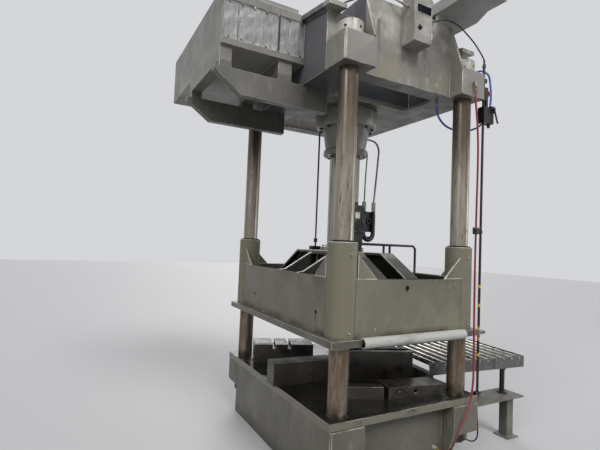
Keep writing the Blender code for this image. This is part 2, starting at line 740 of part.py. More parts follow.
# black pipe rail on the slide top and the block it starts from
RAIL_Y = -0.210
rail_route = [(0.085, RAIL_Y, 1.828), (0.76, RAIL_Y, 1.828), (0.79, RAIL_Y, 1.798), (0.79, RAIL_Y, 1.500)]
rail = tube(rail_route, 0.013)
rail_shapes = [
    rod((0.366, RAIL_Y, 1.640), (0.366, RAIL_Y, 1.820), 0.012, 8),
    rod((0.444, RAIL_Y, 1.600), (0.444, RAIL_Y, 1.820), 0.012, 8),
    box(SLIDE_SIDE_X + GAP, 0.790, RAIL_Y - 0.018, RAIL_Y + 0.018, 1.500, 1.520),
    box(0.346, 0.464, RAIL_Y - 0.018, -0.194 - GAP, 1.480, 1.640),
]
part("slide_rail", black_steel, rail, rail_shapes)
part(
    "hose_coupling",
    black_steel,
    box(-0.030, 0.085 - GAP, -0.245, -0.180, 1.930, 2.200),
    [
        box(-0.020, 0.070, -0.240, -0.2225, RAM_FLANGE_Z, 1.940),
        rod((0.010, -0.2125, 2.195), (0.010, -0.2125, 2.232), 0.016, 12),
        box(0.020, 0.085 - GAP, -0.230, -0.190, 1.812, 1.935),
    ],
)

# two pipes off the cylinder, joined below by the return bend that is part of the larger one
PIPE_Y = 0.030
SUPPLY_X = 0.410
PILOT_X = 0.285
supply_route = [
    (SUPPLY_PORT[0] + 0.003, PIPE_Y, 2.925),
    (0.330, PIPE_Y, 2.938),
    (0.420, PIPE_Y, 2.915),
    (0.455, PIPE_Y, 2.850),
    (0.452, PIPE_Y, 2.760),
    (0.430, PIPE_Y, 2.500),
    (SUPPLY_X, PIPE_Y, 2.260),
]
pilot_route = [
    (PILOT_PORT[0] + GAP, PILOT_PORT[1], PILOT_PORT[2]),
    (PILOT_PORT[0] + 0.018, PILOT_PORT[1], PILOT_PORT[2]),
    (0.268, -0.014, 2.775),
    (0.288, 0.012, 2.705),
    (0.292, 0.026, 2.600),
    (PILOT_X, PIPE_Y, 2.260),
]
part(
    "pilot_pipe",
    black_steel,
    tube(smooth_route(pilot_route, 0.030), 0.008),
    [rod((PILOT_X, PIPE_Y, 2.160), (PILOT_X, PIPE_Y, 2.275), 0.022, 6)],
)
loop_route = [
    (SUPPLY_X, PIPE_Y, 2.190),
    (SUPPLY_X, PIPE_Y, 2.080),
    (SUPPLY_X, PIPE_Y, 1.990),
    (SUPPLY_X - 0.005, PIPE_Y, 1.931),
    (SUPPLY_X - 0.031, PIPE_Y, 1.901),
    ((SUPPLY_X + PILOT_X) / 2, PIPE_Y, 1.8925),
    (PILOT_X + 0.031, PIPE_Y, 1.901),
    (PILOT_X + 0.005, PIPE_Y, 1.931),
    (PILOT_X, PIPE_Y, 1.990),
    (PILOT_X, PIPE_Y, 2.080),
    (PILOT_X, PIPE_Y, 2.160 - GAP),
]
part(
    "supply_pipe",
    black_steel,
    tube(smooth_route(supply_route, 0.035), 0.010),
    [
        rod((SUPPLY_PORT[0] + GAP, PIPE_Y, 2.925), (0.262, PIPE_Y, 2.925), 0.020, 12),
        rod((SUPPLY_X, PIPE_Y, 2.160), (SUPPLY_X, PIPE_Y, 2.275), 0.022, 6),
        tube(smooth_route(loop_route, 0.030), 0.017),
    ],
)

# control box on the crown's front end plate
BOX_LEFT_X = -0.110
BOX_RIGHT_X = 0.080
BOX_FRONT_Y = -1.052
BOX_LOW_Z = 3.457
BOX_TOP_Z = 3.862
conduit_route = [
    (BOX_LEFT_X + 0.01, -0.985, 3.765),
    (-0.150, -0.985, 3.768),
    (-0.220, -0.960, 3.800),
    (-0.330, -0.800, 3.868),
    (-0.430, -0.620, 3.895),
    (-0.475, -0.520, 3.880),
    (-0.475, -0.480, 3.840),
    (-0.475, -0.470, 3.792),
]
part(
    "control_box",
    box_grey,
    box(BOX_LEFT_X, BOX_RIGHT_X, BOX_FRONT_Y, -END_FACE_Y - GAP, BOX_LOW_Z, BOX_TOP_Z),
    [
        tube(smooth_route(conduit_route, 0.045), 0.009),
        rod((BOX_LEFT_X - 0.018, -0.985, 3.765), (BOX_LEFT_X + 0.005, -0.985, 3.765), 0.015, 8),
        rod((BOX_RIGHT_X - 0.005, -1.000, 3.700), (BOX_RIGHT_X + 0.020, -1.000, 3.700), 0.014, 8),
    ],
    [box(BOX_LEFT_X + 0.006, BOX_RIGHT_X - 0.006, BOX_FRONT_Y - 0.05, -0.940, BOX_LOW_Z + 0.006, BOX_TOP_Z - 0.006)],
)
DOOR_HINGE_X = BOX_RIGHT_X - 0.002
DOOR_BACK_Y = BOX_FRONT_Y - GAP
DOOR_FRONT_Y = -1.068
door = box(BOX_LEFT_X, BOX_RIGHT_X - 0.0045, DOOR_FRONT_Y, DOOR_BACK_Y, BOX_LOW_Z, BOX_TOP_Z)
LATCH_X = -0.056
LATCH_Z = 3.571
part(
    "control_box_door",
    box_grey,
    door,
    [rod((DOOR_HINGE_X, DOOR_FRONT_Y, z), (DOOR_HINGE_X, DOOR_FRONT_Y, z + 0.05), 0.005, 8) for z in (3.50, 3.77)],
    [
        box(-0.090, 0.066, DOOR_FRONT_Y - 0.01, DOOR_FRONT_Y + 0.004, 3.690, 3.760),
        rod((LATCH_X, DOOR_FRONT_Y - 0.01, LATCH_Z), (LATCH_X, DOOR_FRONT_Y + 0.011, LATCH_Z), 0.0073, 16),
    ],
    origin=(DOOR_HINGE_X, DOOR_FRONT_Y, BOX_LOW_Z),
)
latch = box(LATCH_X - 0.015, LATCH_X + 0.015, DOOR_FRONT_Y - 0.013, DOOR_FRONT_Y - GAP, LATCH_Z - 0.011, LATCH_Z + 0.011)
latch.transform(
    Matrix.Translation((LATCH_X, 0, LATCH_Z))
    @ Matrix.Rotation(math.radians(35), 4, "Y")
    @ Matrix.Translation((-LATCH_X, 0, -LATCH_Z))
)
part(
    "control_box_latch",
    black_steel,
    latch,
    [rod((LATCH_X, DOOR_FRONT_Y - 0.005, LATCH_Z), (LATCH_X, DOOR_FRONT_Y + 0.010, LATCH_Z), 0.007, 16)],
    origin=(LATCH_X, DOOR_FRONT_Y, LATCH_Z),
)

# oil tank on the left of the crown, with its cleaning cover and two tapered brackets
TANK_LEFT_X = -1.483
TANK_RIGHT_X = -SIDE_FACE_X - GAP
TANK_FRONT_Y = -0.430
TANK_BACK_Y = 1.250
TANK_LOW_Z = 3.315
TANK_TOP_Z = 3.780
FLANGE_EDGE_X = -0.8015
tank_cuts = [
    box(TANK_LEFT_X + 0.010, -0.830, TANK_FRONT_Y + 0.010, TANK_BACK_Y - 0.010, 3.327, 3.768),
    box(-1.420, -0.840, TANK_FRONT_Y - 0.1, TANK_FRONT_Y + 0.05, 3.400, 3.630),
]
tank_joins = [
    box(TANK_LEFT_X, TANK_RIGHT_X, -0.449, TANK_FRONT_Y + 0.005, TANK_LOW_Z, 3.362),
    box(TANK_LEFT_X, FLANGE_EDGE_X, -0.449, TANK_FRONT_Y + 0.005, 3.6725, 3.736),
    box(-1.483, -1.385, -0.425, 0.494, 3.200 + GAP, 3.320),
    box(-0.985, -0.860, -0.425, 0.494, 3.200 + GAP, 3.320),
    box(-0.830, TANK_RIGHT_X, TANK_FRONT_Y, 0.780, TANK_LOW_Z, 3.620),
]
part(
    "oil_tank",
    paint,
    box(TANK_LEFT_X, -0.820, TANK_FRONT_Y, TANK_BACK_Y, TANK_LOW_Z, TANK_TOP_Z),
    tank_joins,
    tank_cuts,
)
cover_clips = []
for number in range(7):
    x = -1.430 + number * 0.105
    for z in (3.372, 3.662):
        cover_clips.append(box(x - 0.009, x + 0.009, -0.452, -0.438, z - 0.009, z + 0.009))
part(
    "tank_cover",
    galvanised,
    box(TANK_LEFT_X + 0.003, -0.760, -0.442, TANK_FRONT_Y - GAP, 3.3625, 3.672),
    cover_clips,
)
for name, y in (("front", -0.425), ("rear", 0.420)):
    web = [
        (-1.520, 3.150),
        (-0.500, 3.150),
        (-0.500, 2.965),
        (-1.290, 2.965),
        (-1.520, 3.130),
    ]
    flange = [(-0.500, 2.965), (-0.500, 2.953), (-1.294, 2.953), (-1.520, 3.115), (-1.520, 3.130), (-1.290, 2.965)]
    top = [(-1.520, 3.1497), (-1.520, 3.137), (-0.500, 3.137), (-0.500, 3.1497)]
    web = [(a, min(b, 3.1497)) for a, b in web]
    part(
        f"tank_bracket_{name}",
        paint,
        outline(web, y, y + 0.012, "XZ"),
        [
            outline(flange, y, y + 0.074, "XZ"),
            outline(top, y, y + 0.074, "XZ"),
            box(-1.483, -1.385, y, y + 0.074, 3.140, 3.200),
            box(-0.985, -0.860, y, y + 0.074, 3.140, 3.200),
        ],
    )

# deck over the crown's front right corner, finished plainly where the picture ends
deck_ring = [(0.270, -0.600), (0.690, -0.600), (0.690, -1.006), (0.608, -1.182), (0.608, -1.360), (0.270, -1.360)]
part(
    "crown_deck",
    crown_paint,
    outline(deck_ring, 3.850, 3.950),
    [
        box(0.455, 0.500, -0.880, -0.620, CROWN_TOP_Z + GAP, 3.855),
        box(0.290, 0.440, -0.918, -0.894, CROWN_TOP_Z + GAP, 3.855),
    ],
)

# scale rod beside the front right column, its clamps and the valve it carries
part(
    "scale_rod",
    black_steel,
    rod((SCALE_X, SCALE_Y, 0.520), (SCALE_X, SCALE_Y, 3.500), SCALE_R, 12),
    [
        rod((SCALE_X, SCALE_Y, 3.470), (SCALE_X, SCALE_Y, 3.500), 0.016, 8),
        rod((SCALE_X, SCALE_Y, 0.520), (SCALE_X, SCALE_Y, 0.545), 0.016, 8),
    ],
)


def rod_clamp(name, z0, z1, low_face_x):
    part(
        name,
        black_steel,
        box(low_face_x + GAP, SCALE_X + 0.022, SCALE_Y - 0.020, SCALE_Y + 0.020, z0, z1),
        cuts=[rod((SCALE_X, SCALE_Y, z0 - 0.05), (SCALE_X, SCALE_Y, z1 + 0.05), SCALE_R + GAP, 12)],
    )


rod_clamp("scale_clamp_top", 3.330, 3.365, SIDE_FACE_X)
rod_clamp("scale_clamp_foot", 0.548, 0.575, BED_HALF_X + 0.002)

KNOB_Z = 3.245
LEVER_X = 0.885
LEVER_Z = 3.090
part(
    "valve_body",
    black_steel,
    box(0.775, 0.905, -1.035, -0.965, 2.960, 3.105),
    [
        box(0.860, 0.910, -1.045, -0.990, 3.060, 3.118),
        rod((0.880, -1.000, 2.930), (0.880, -1.000, 2.965), 0.014, 8),
        box(SIDE_FACE_X + GAP, 0.850, -1.015, -0.985, 3.165, 3.290),
        box(0.825, 0.850, -1.015, -0.985, 3.090, 3.180),
    ],
    [
        rod((SCALE_X, SCALE_Y, 2.90), (SCALE_X, SCALE_Y, 3.33), SCALE_R + 0.001, 12),
        rod((0.845, -1.000, KNOB_Z), (0.880, -1.000, KNOB_Z), 0.0066, 12),
        rod((LEVER_X, -1.060, LEVER_Z), (LEVER_X, -1.030, LEVER_Z), 0.0066, 12),
    ],
)
part(
    "valve_knob",
    knob_red,
    rod((0.858, -1.000, KNOB_Z), (0.884, -1.000, KNOB_Z), 0.019, 12),
    [
        rod((0.8456, -1.000, KNOB_Z), (0.860, -1.000, KNOB_Z), 0.006, 12),
        box(0.862, 0.880, -1.006, -0.994, KNOB_Z - 0.026, KNOB_Z + 0.026),
    ],
    origin=(0.858, -1.000, KNOB_Z),
)
part(
    "valve_lever",
    black_steel,
    rod((LEVER_X, -1.0475, LEVER_Z), (LEVER_X, -1.062, LEVER_Z), 0.012, 12),
    [
        rod((LEVER_X, -1.048, LEVER_Z), (LEVER_X, -1.033, LEVER_Z), 0.006, 12),
        rod((LEVER_X, -1.055, LEVER_Z), (LEVER_X + 0.045, -1.058, LEVER_Z - 0.125), 0.008, 8),
    ],
    origin=(LEVER_X, -1.048, LEVER_Z),
)

# free hoses and cables; their fittings are bosses on the pieces they end at
red_route = [
    (RED_PORT[0], RED_PORT[1], RED_PORT[2] - GAP),
    (RED_PORT[0], RED_PORT[1], 3.160),
    (0.606, -1.081, 3.080),
    (0.624, -1.083, 2.940),
    (0.642, -1.082, 2.760),
    (0.650, -1.079, 2.500),
    (0.650, -1.076, 2.200),
    (0.646, -1.076, 1.700),
    (0.650, -1.076, 1.200),
    (0.653, -1.078, 0.880),
    (0.643, -1.084, 0.700),
    (0.610, -1.090, 0.560),
    (0.545, -1.092, 0.440),
    (0.470, -1.092, 0.320),
    (0.424, -1.089, 0.240),
    (0.400, -1.074, 0.186),
    (0.387, -1.043, 0.153),
    (BASE_PORT[0], -1.000, BASE_PORT[2]),
    (BASE_PORT[0], BASE_PORT[1] - GAP, BASE_PORT[2]),
]
part("red_hose", hose_red, tube(smooth_route(red_route, 0.050), 0.0085), smooth=60)
blue_route = [
    (BLUE_PORT[0], BLUE_PORT[1], BLUE_PORT[2] + GAP),
    (0.798, -0.860, 3.400),
    (0.8068, -0.8672, 3.4425),
    (0.8309, -0.8869, 3.4736),
    (0.8639, -0.9137, 3.4850),
    (0.8968, -0.9406, 3.4736),
    (0.9209, -0.9602, 3.4425),
    (0.9298, -0.9674, 3.4000),
    (0.9350, -0.9716, 3.3350),
    (0.942, -0.974, 3.260),
    (0.942, -0.970, 3.180),
    (0.934, -0.957, 3.100),
    (0.914, -0.935, 3.026),
    (0.876, -0.900, 2.966),
    (0.820, -0.860, 2.932),
    (0.750, -0.818, 2.921),
    (0.675, -0.788, 2.926),
    (0.600, -0.770, 2.947),
    (0.530, -0.765, 2.987),
    (0.476, -0.774, 3.035),
    (0.448, -0.785, 3.082),
    (0.440, -0.790, 3.122),
    (0.440, -0.790, CROWN_LOW_Z - GAP),
]
part("blue_hose", hose_blue, tube(smooth_route(blue_route, 0.026), 0.009), smooth=60)
cable_route = [
    (BOX_RIGHT_X + 0.020 + GAP, -1.000, 3.700),
    (0.130, -1.000, 3.701),
    (0.170, -1.000, 3.713),
    (0.220, -1.000, 3.736),
    (0.290, -1.000, 3.762),
    (0.370, -1.000, 3.774),
    (0.480, -1.000, 3.757),
    (0.580, -1.000, 3.713),
    (0.680, -1.000, 3.656),
    (0.745, -1.000, 3.603),
    (0.7835, -1.000, 3.5683),
    (0.7994, -1.000, 3.5464),
    (SCALE_X, -1.000, 3.5200),
    (SCALE_X, -1.000, 3.500 + GAP),
]
part("black_cable", hose_black, tube(smooth_route(cable_route, 0.018), 0.006), smooth=60)
tail_route = [
    (SCALE_X, SCALE_Y, 0.520 - GAP),
    (SCALE_X, SCALE_Y, 0.460),
    (0.811, -1.000, 0.360),
    (0.823, -0.999, 0.240),
    (0.833, -0.984, 0.165),
    (0.841, -0.935, 0.112),
    (0.845, -0.860, 0.098),
    (0.8450, -0.7880, 0.100),
    (0.8372, -0.7590, 0.100),
    (0.8160, -0.7378, 0.100),
    (0.7870, TAIL_PORT[1], TAIL_PORT[2]),
    (TAIL_PORT[0] + GAP, TAIL_PORT[1], TAIL_PORT[2]),
]
part("tail_cable", hose_black, tube(smooth_route(tail_route, 0.016), 0.006), smooth=60)

# roller table, a loose unit set down a little askew
TABLE_AT = (0.550, -0.685)
TABLE_ANGLE = math.radians(-6.72)
TABLE_LENGTH = 1.190
TABLE_WIDTH = 0.750
TABLE_LOW_Z = 0.645
TABLE_TOP_Z = 0.757
CHANNEL_THICK = 0.006
ROLLER_R = 0.025
ROLLER_Z = 0.735
ROLLER_COUNT = 11
ROLLER_FIRST = 0.075
ROLLER_PITCH = 0.105
AXLE_R = 0.006
TABLE_PLACE = Matrix.Translation((*TABLE_AT, 0.0)) @ Matrix.Rotation(TABLE_ANGLE, 4, "Z")


def on_table(mesh):
    mesh.transform(TABLE_PLACE)
    return mesh


table_joins = [
    box(0, TABLE_LENGTH, TABLE_WIDTH - CHANNEL_THICK, TABLE_WIDTH, TABLE_LOW_Z, TABLE_TOP_Z),
    box(0, TABLE_LENGTH, 0, 0.045, TABLE_LOW_Z, TABLE_LOW_Z + CHANNEL_THICK),
    box(0, TABLE_LENGTH, TABLE_WIDTH - 0.045, TABLE_WIDTH, TABLE_LOW_Z, TABLE_LOW_Z + CHANNEL_THICK),
    box(TABLE_LENGTH - CHANNEL_THICK, TABLE_LENGTH, 0, TABLE_WIDTH, TABLE_LOW_Z, TABLE_TOP_Z),
    box(0.560, 0.610, 0, TABLE_WIDTH, TABLE_LOW_Z, TABLE_LOW_Z + 0.008),
    box(0.010, 0.070, 0, TABLE_WIDTH, TABLE_LOW_Z, TABLE_LOW_Z + 0.008),
    box(0.020, 0.100, 0.060, 0.640, BED_TOP_Z + GAP, TABLE_LOW_Z + 0.004),
]
axle_holes = []
for number in range(ROLLER_COUNT):
    u = ROLLER_FIRST + number * ROLLER_PITCH
    axle_holes.append(rod((u, -0.05, ROLLER_Z), (u, TABLE_WIDTH + 0.05, ROLLER_Z), AXLE_R + RUN, 8))
part(
    "table_frame",
    paint,
    on_table(box(0, TABLE_LENGTH, 0, CHANNEL_THICK, TABLE_LOW_Z, TABLE_TOP_Z)),
    [on_table(mesh) for mesh in table_joins],
    [on_table(mesh) for mesh in axle_holes],
)
roller_end = 0.010
for number in range(ROLLER_COUNT):
    u = ROLLER_FIRST + number * ROLLER_PITCH
    half = TABLE_WIDTH / 2 - 0.001
    body_half = TABLE_WIDTH / 2 - roller_end
    profile = [
        (0.0, half),
        (AXLE_R, half),
        (AXLE_R, body_half),
        (ROLLER_R - 0.002, body_half),
        (ROLLER_R, body_half - 0.002),
        (ROLLER_R, -body_half + 0.002),
        (ROLLER_R - 0.002, -body_half),
        (AXLE_R, -body_half),
        (AXLE_R, -half),
        (0.0, -half),
    ]
    lie = Matrix.Rotation(math.radians(90), 4, "X")
    middle = Matrix.Translation((u, TABLE_WIDTH / 2, ROLLER_Z))
    mesh = turned(profile, 12, TABLE_PLACE @ middle @ lie)
    centre = TABLE_PLACE @ Vector((u, TABLE_WIDTH / 2, ROLLER_Z))
    part(f"roller_{number + 1:02d}", roller_steel, mesh, origin=centre, smooth=30)

# shelf with its leg on the right of the base, and the post that carries the table
SHELF_TOP_Z = 0.410
part(
    "side_shelf",
    bed_steel,
    box(SIDE_FACE_X + 0.001, 1.580, -0.930, -0.670, SHELF_TOP_Z - 0.012, SHELF_TOP_Z),
    [
        box(1.435, 1.525, -0.855, -0.765, 0.004, SHELF_TOP_Z - 0.006),
        box(1.400, 1.560, -0.890, -0.730, 0.0, 0.012),
        box(SIDE_FACE_X + 0.001, SIDE_FACE_X + 0.013, -0.930, -0.670, 0.300, SHELF_TOP_Z),
    ],
)
POST_X = 1.462
POST_Y = -0.772
part(
    "table_post",
    black_steel,
    rod((POST_X, POST_Y, SHELF_TOP_Z + GAP), (POST_X, POST_Y, TABLE_LOW_Z - GAP), 0.024, 16),
    [
        rod((POST_X, POST_Y, SHELF_TOP_Z + GAP), (POST_X, POST_Y, SHELF_TOP_Z + 0.012), 0.050, 16),
        rod((POST_X, POST_Y, TABLE_LOW_Z - 0.010), (POST_X, POST_Y, TABLE_LOW_Z - GAP), 0.034, 16),
    ],
    smooth=30,
)

# blocks and bars that lie on the bed
LIES_AT = BED_TOP_Z + GAP
part(
    "die_block",
    tool_steel,
    turned_box(0.610, 0.200, LIES_AT, 0.830, (-0.080, -0.310), math.radians(-21.8)),
    cuts=[turned_box(0.700, 0.060, 0.785, 0.900, (-0.080, -0.240), math.radians(-21.8))],
)
bar_hole = rod((0.250, -0.02, 0.608), (0.250, 0.25, 0.608), 0.017, 16)
bar_hole.transform(Matrix.Translation((-0.030, -0.810, 0.0)) @ Matrix.Rotation(math.radians(-11.3), 4, "Z"))
part(
    "bored_bar",
    tool_steel,
    turned_box(0.510, 0.200, LIES_AT, 0.650, (-0.030, -0.810), math.radians(-11.3)),
    cuts=[bar_hole],
)
part("long_block", tool_steel, turned_box(0.600, 0.160, LIES_AT, 0.755, (-0.795, -0.190), math.radians(-5.0)))
part(
    "slotted_block",
    tool_steel,
    turned_box(0.620, 0.300, LIES_AT, 0.750, (-0.680, 0.530), math.radians(-20.8)),
    cuts=[
        turned_box(0.030, 0.500, 0.705, 0.800, (-0.530, 0.380), math.radians(-20.8)),
        turned_box(0.030, 0.500, 0.705, 0.800, (-0.380, 0.320), math.radians(-20.8)),
    ],
)
part("short_bar", tool_steel, turned_box(0.300, 0.100, LIES_AT, 0.660, (-0.360, -0.690), math.radians(-23.0)))
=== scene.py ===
"""The looks of a four-column hydraulic press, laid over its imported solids.

Blender 4.5, metres, +Z up. X runs along the press's short side, towards the roller table, and Y along
its long side, away from the control box.
"""

import json
import math

import bmesh
import bpy
from mathutils import Matrix, Vector

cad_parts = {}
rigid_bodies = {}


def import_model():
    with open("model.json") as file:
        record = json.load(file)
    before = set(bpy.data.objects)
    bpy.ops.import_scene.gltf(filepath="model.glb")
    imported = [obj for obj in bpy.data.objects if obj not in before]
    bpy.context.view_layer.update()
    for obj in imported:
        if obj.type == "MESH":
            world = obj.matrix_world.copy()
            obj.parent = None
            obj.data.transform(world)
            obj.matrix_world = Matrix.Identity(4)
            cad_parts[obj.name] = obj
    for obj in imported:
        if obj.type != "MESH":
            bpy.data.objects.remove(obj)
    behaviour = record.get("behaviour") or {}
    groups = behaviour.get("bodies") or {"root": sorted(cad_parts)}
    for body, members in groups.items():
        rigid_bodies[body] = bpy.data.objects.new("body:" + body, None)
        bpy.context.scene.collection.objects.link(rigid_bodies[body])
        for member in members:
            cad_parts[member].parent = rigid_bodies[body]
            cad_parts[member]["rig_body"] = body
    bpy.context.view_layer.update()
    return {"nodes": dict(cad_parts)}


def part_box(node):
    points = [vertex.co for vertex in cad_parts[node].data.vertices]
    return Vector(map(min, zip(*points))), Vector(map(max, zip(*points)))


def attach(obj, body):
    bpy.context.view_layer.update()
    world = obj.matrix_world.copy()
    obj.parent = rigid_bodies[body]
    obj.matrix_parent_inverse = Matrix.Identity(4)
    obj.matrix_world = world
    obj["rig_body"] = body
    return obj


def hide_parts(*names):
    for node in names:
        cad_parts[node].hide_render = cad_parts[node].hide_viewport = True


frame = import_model()
scene = bpy.context.scene

# CAMERA
# The picture was taken at standing height from the press's front left corner, close in, with a wide
# lens, so the uprights lean and the crown is seen from below. The camera is turned a little on its axis.
EYE = Vector((-2.396, -3.500, 1.800))
YAW, PITCH, ROLL = 0.4987, 0.0461, 0.0414

ahead = Vector((math.sin(YAW) * math.cos(PITCH), math.cos(YAW) * math.cos(PITCH), math.sin(PITCH)))
level_right = Vector((math.cos(YAW), -math.sin(YAW), 0.0))
level_up = level_right.cross(ahead)
camera_right = level_right * math.cos(ROLL) + level_up * math.sin(ROLL)
camera_up = level_up * math.cos(ROLL) - level_right * math.sin(ROLL)
lens = bpy.data.cameras.new("standing_camera")
lens.lens = 25.04
lens.sensor_width = 36.0
camera = bpy.data.objects.new("standing_camera", lens)
turn = Matrix((camera_right, camera_up, -ahead)).transposed().to_4x4()
camera.matrix_world = Matrix.Translation(EYE) @ turn
scene.collection.objects.link(camera)
scene.camera = camera

# FLOOR AND LIGHT
# A plain pale concrete floor under soft light from three sides of the hall, strongest in front, with a
# weak pale world. Camera and mirror rays see a paler floor and background than the ones that light the
# press.
scene.view_settings.view_transform = "Standard"


class Nodes:
    """A node tree that is built node by node."""

    def __init__(self, tree):
        self.tree = tree

    def feed(self, socket, value):
        """Links the socket to another one, or gives it a constant value."""
        if isinstance(value, bpy.types.NodeSocket):
            self.tree.links.new(value, socket)
        else:
            socket.default_value = value

    def add(self, kind, *values, **named):
        """A node with values or links for its first sockets. Among the named ones, a capital letter
        marks a socket and a small letter a setting of the node."""
        node = self.tree.nodes.new(kind)
        for label, value in named.items():
            if label[0].islower():
                setattr(node, label, value)
            else:
                self.feed(node.inputs[label.replace("_", " ")], value)
        for socket, value in zip(node.inputs, values):
            self.feed(socket, value)
        return node

    def reckon(self, operation, *values):
        """The result of one sum on numbers or sockets."""
        return self.add("ShaderNodeMath", *values, operation=operation).outputs[0]


# The floor's half width, and how far it lies under the press's feet so that their faces don't flicker.
FLOOR_HALF, FLOOR_DROP = 30.0, 0.0006
floor_mesh = bpy.data.meshes.new("hall_floor")
floor_corners = [(x * FLOOR_HALF, y * FLOOR_HALF, 0) for x, y in ((-1, -1), (1, -1), (1, 1), (-1, 1))]
floor_mesh.from_pydata(floor_corners, [], [(0, 1, 2, 3)])
hall_floor = bpy.data.objects.new("hall_floor", floor_mesh)
hall_floor.location.z = -FLOOR_DROP
scene.collection.objects.link(hall_floor)
floor_finish = bpy.data.materials.new("pale_floor")
floor_finish.use_nodes = True
floor_mesh.materials.append(floor_finish)
floor = Nodes(floor_finish.node_tree)
floor_shader = floor.tree.nodes["Principled BSDF"]
floor_shader.inputs["Base Color"].default_value = (0.41, 0.415, 0.43, 1)
floor_shader.inputs["Roughness"].default_value = 0.60
dim_floor = floor.add("ShaderNodeBsdfDiffuse", (0.24, 0.24, 0.24, 1))

world = bpy.data.worlds.new("pale_hall")
scene.world = world
world.use_nodes = True
sky = Nodes(world.node_tree)
sky.tree.nodes.clear()
seen_sky = sky.add("ShaderNodeBackground", (0.66, 0.67, 0.69, 1), 1.0)
lighting = sky.add("ShaderNodeBackground", (0.95, 0.97, 1.0, 1), 0.30)
for nodes, plain, shown, end in (
    (sky, lighting, seen_sky, sky.add("ShaderNodeOutputWorld")),
    (floor, dim_floor, floor_shader, floor.tree.nodes["Material Output"]),
):
    ray = nodes.add("ShaderNodeLightPath").outputs
    direct = nodes.reckon("MAXIMUM", ray["Is Camera Ray"], ray["Is Glossy Ray"])
    blend = nodes.add("ShaderNodeMixShader", direct, plain.outputs[0], shown.outputs[0])
    nodes.feed(end.inputs["Surface"], blend.outputs[0])


def hall_light(name, towards, strength, softness):
    """Even light from one side of the hall, from the direction given."""
    lamp = bpy.data.lights.new(name, "SUN")
    lamp.energy = strength
    lamp.angle = math.radians(softness)
    lamp.color = (1.0, 0.985, 0.96)
    obj = bpy.data.objects.new(name, lamp)
    obj.rotation_euler = (-Vector(towards)).to_track_quat("-Z", "Y").to_euler()
    scene.collection.objects.link(obj)


hall_light("front_light", (0.05, -0.70, 0.71), 2.15, 25)
hall_light("left_light", (-0.75, -0.35, 0.55), 1.35, 30)
hall_light("rear_light", (0.35, 0.75, 0.55), 1.0, 30)

# The tall strip stands for the hall's bright doors, which draw the pale line down each column.
strip = bpy.data.lights.new("door_strip", "AREA")
strip.shape = "RECTANGLE"
strip.size, strip.size_y = 2.4, 3.4
strip.energy = 110
strip_obj = bpy.data.objects.new("door_strip", strip)
strip_obj.location = (8.4, -3.8, 2.7)
strip_obj.rotation_euler = Vector((9.0, -2.9, 0.0)).to_track_quat("Z", "Y").to_euler()
strip_obj.visible_camera = False
scene.collection.objects.link(strip_obj)


# HOSES AND CABLES
# A red air hose from the crown's front right block down to the base, a blue hose looped round the
# valve on the right, and black cables from the control box to the scale rod and from its foot.
def linear(code):
    """The linear colour of a six-figure colour code."""
    parts = [int(code[i:i + 2], 16) / 255 for i in (0, 2, 4)]
    return (*[c / 12.92 if c <= 0.04045 else ((c + 0.055) / 1.055) ** 2.4 for c in parts], 1.0)


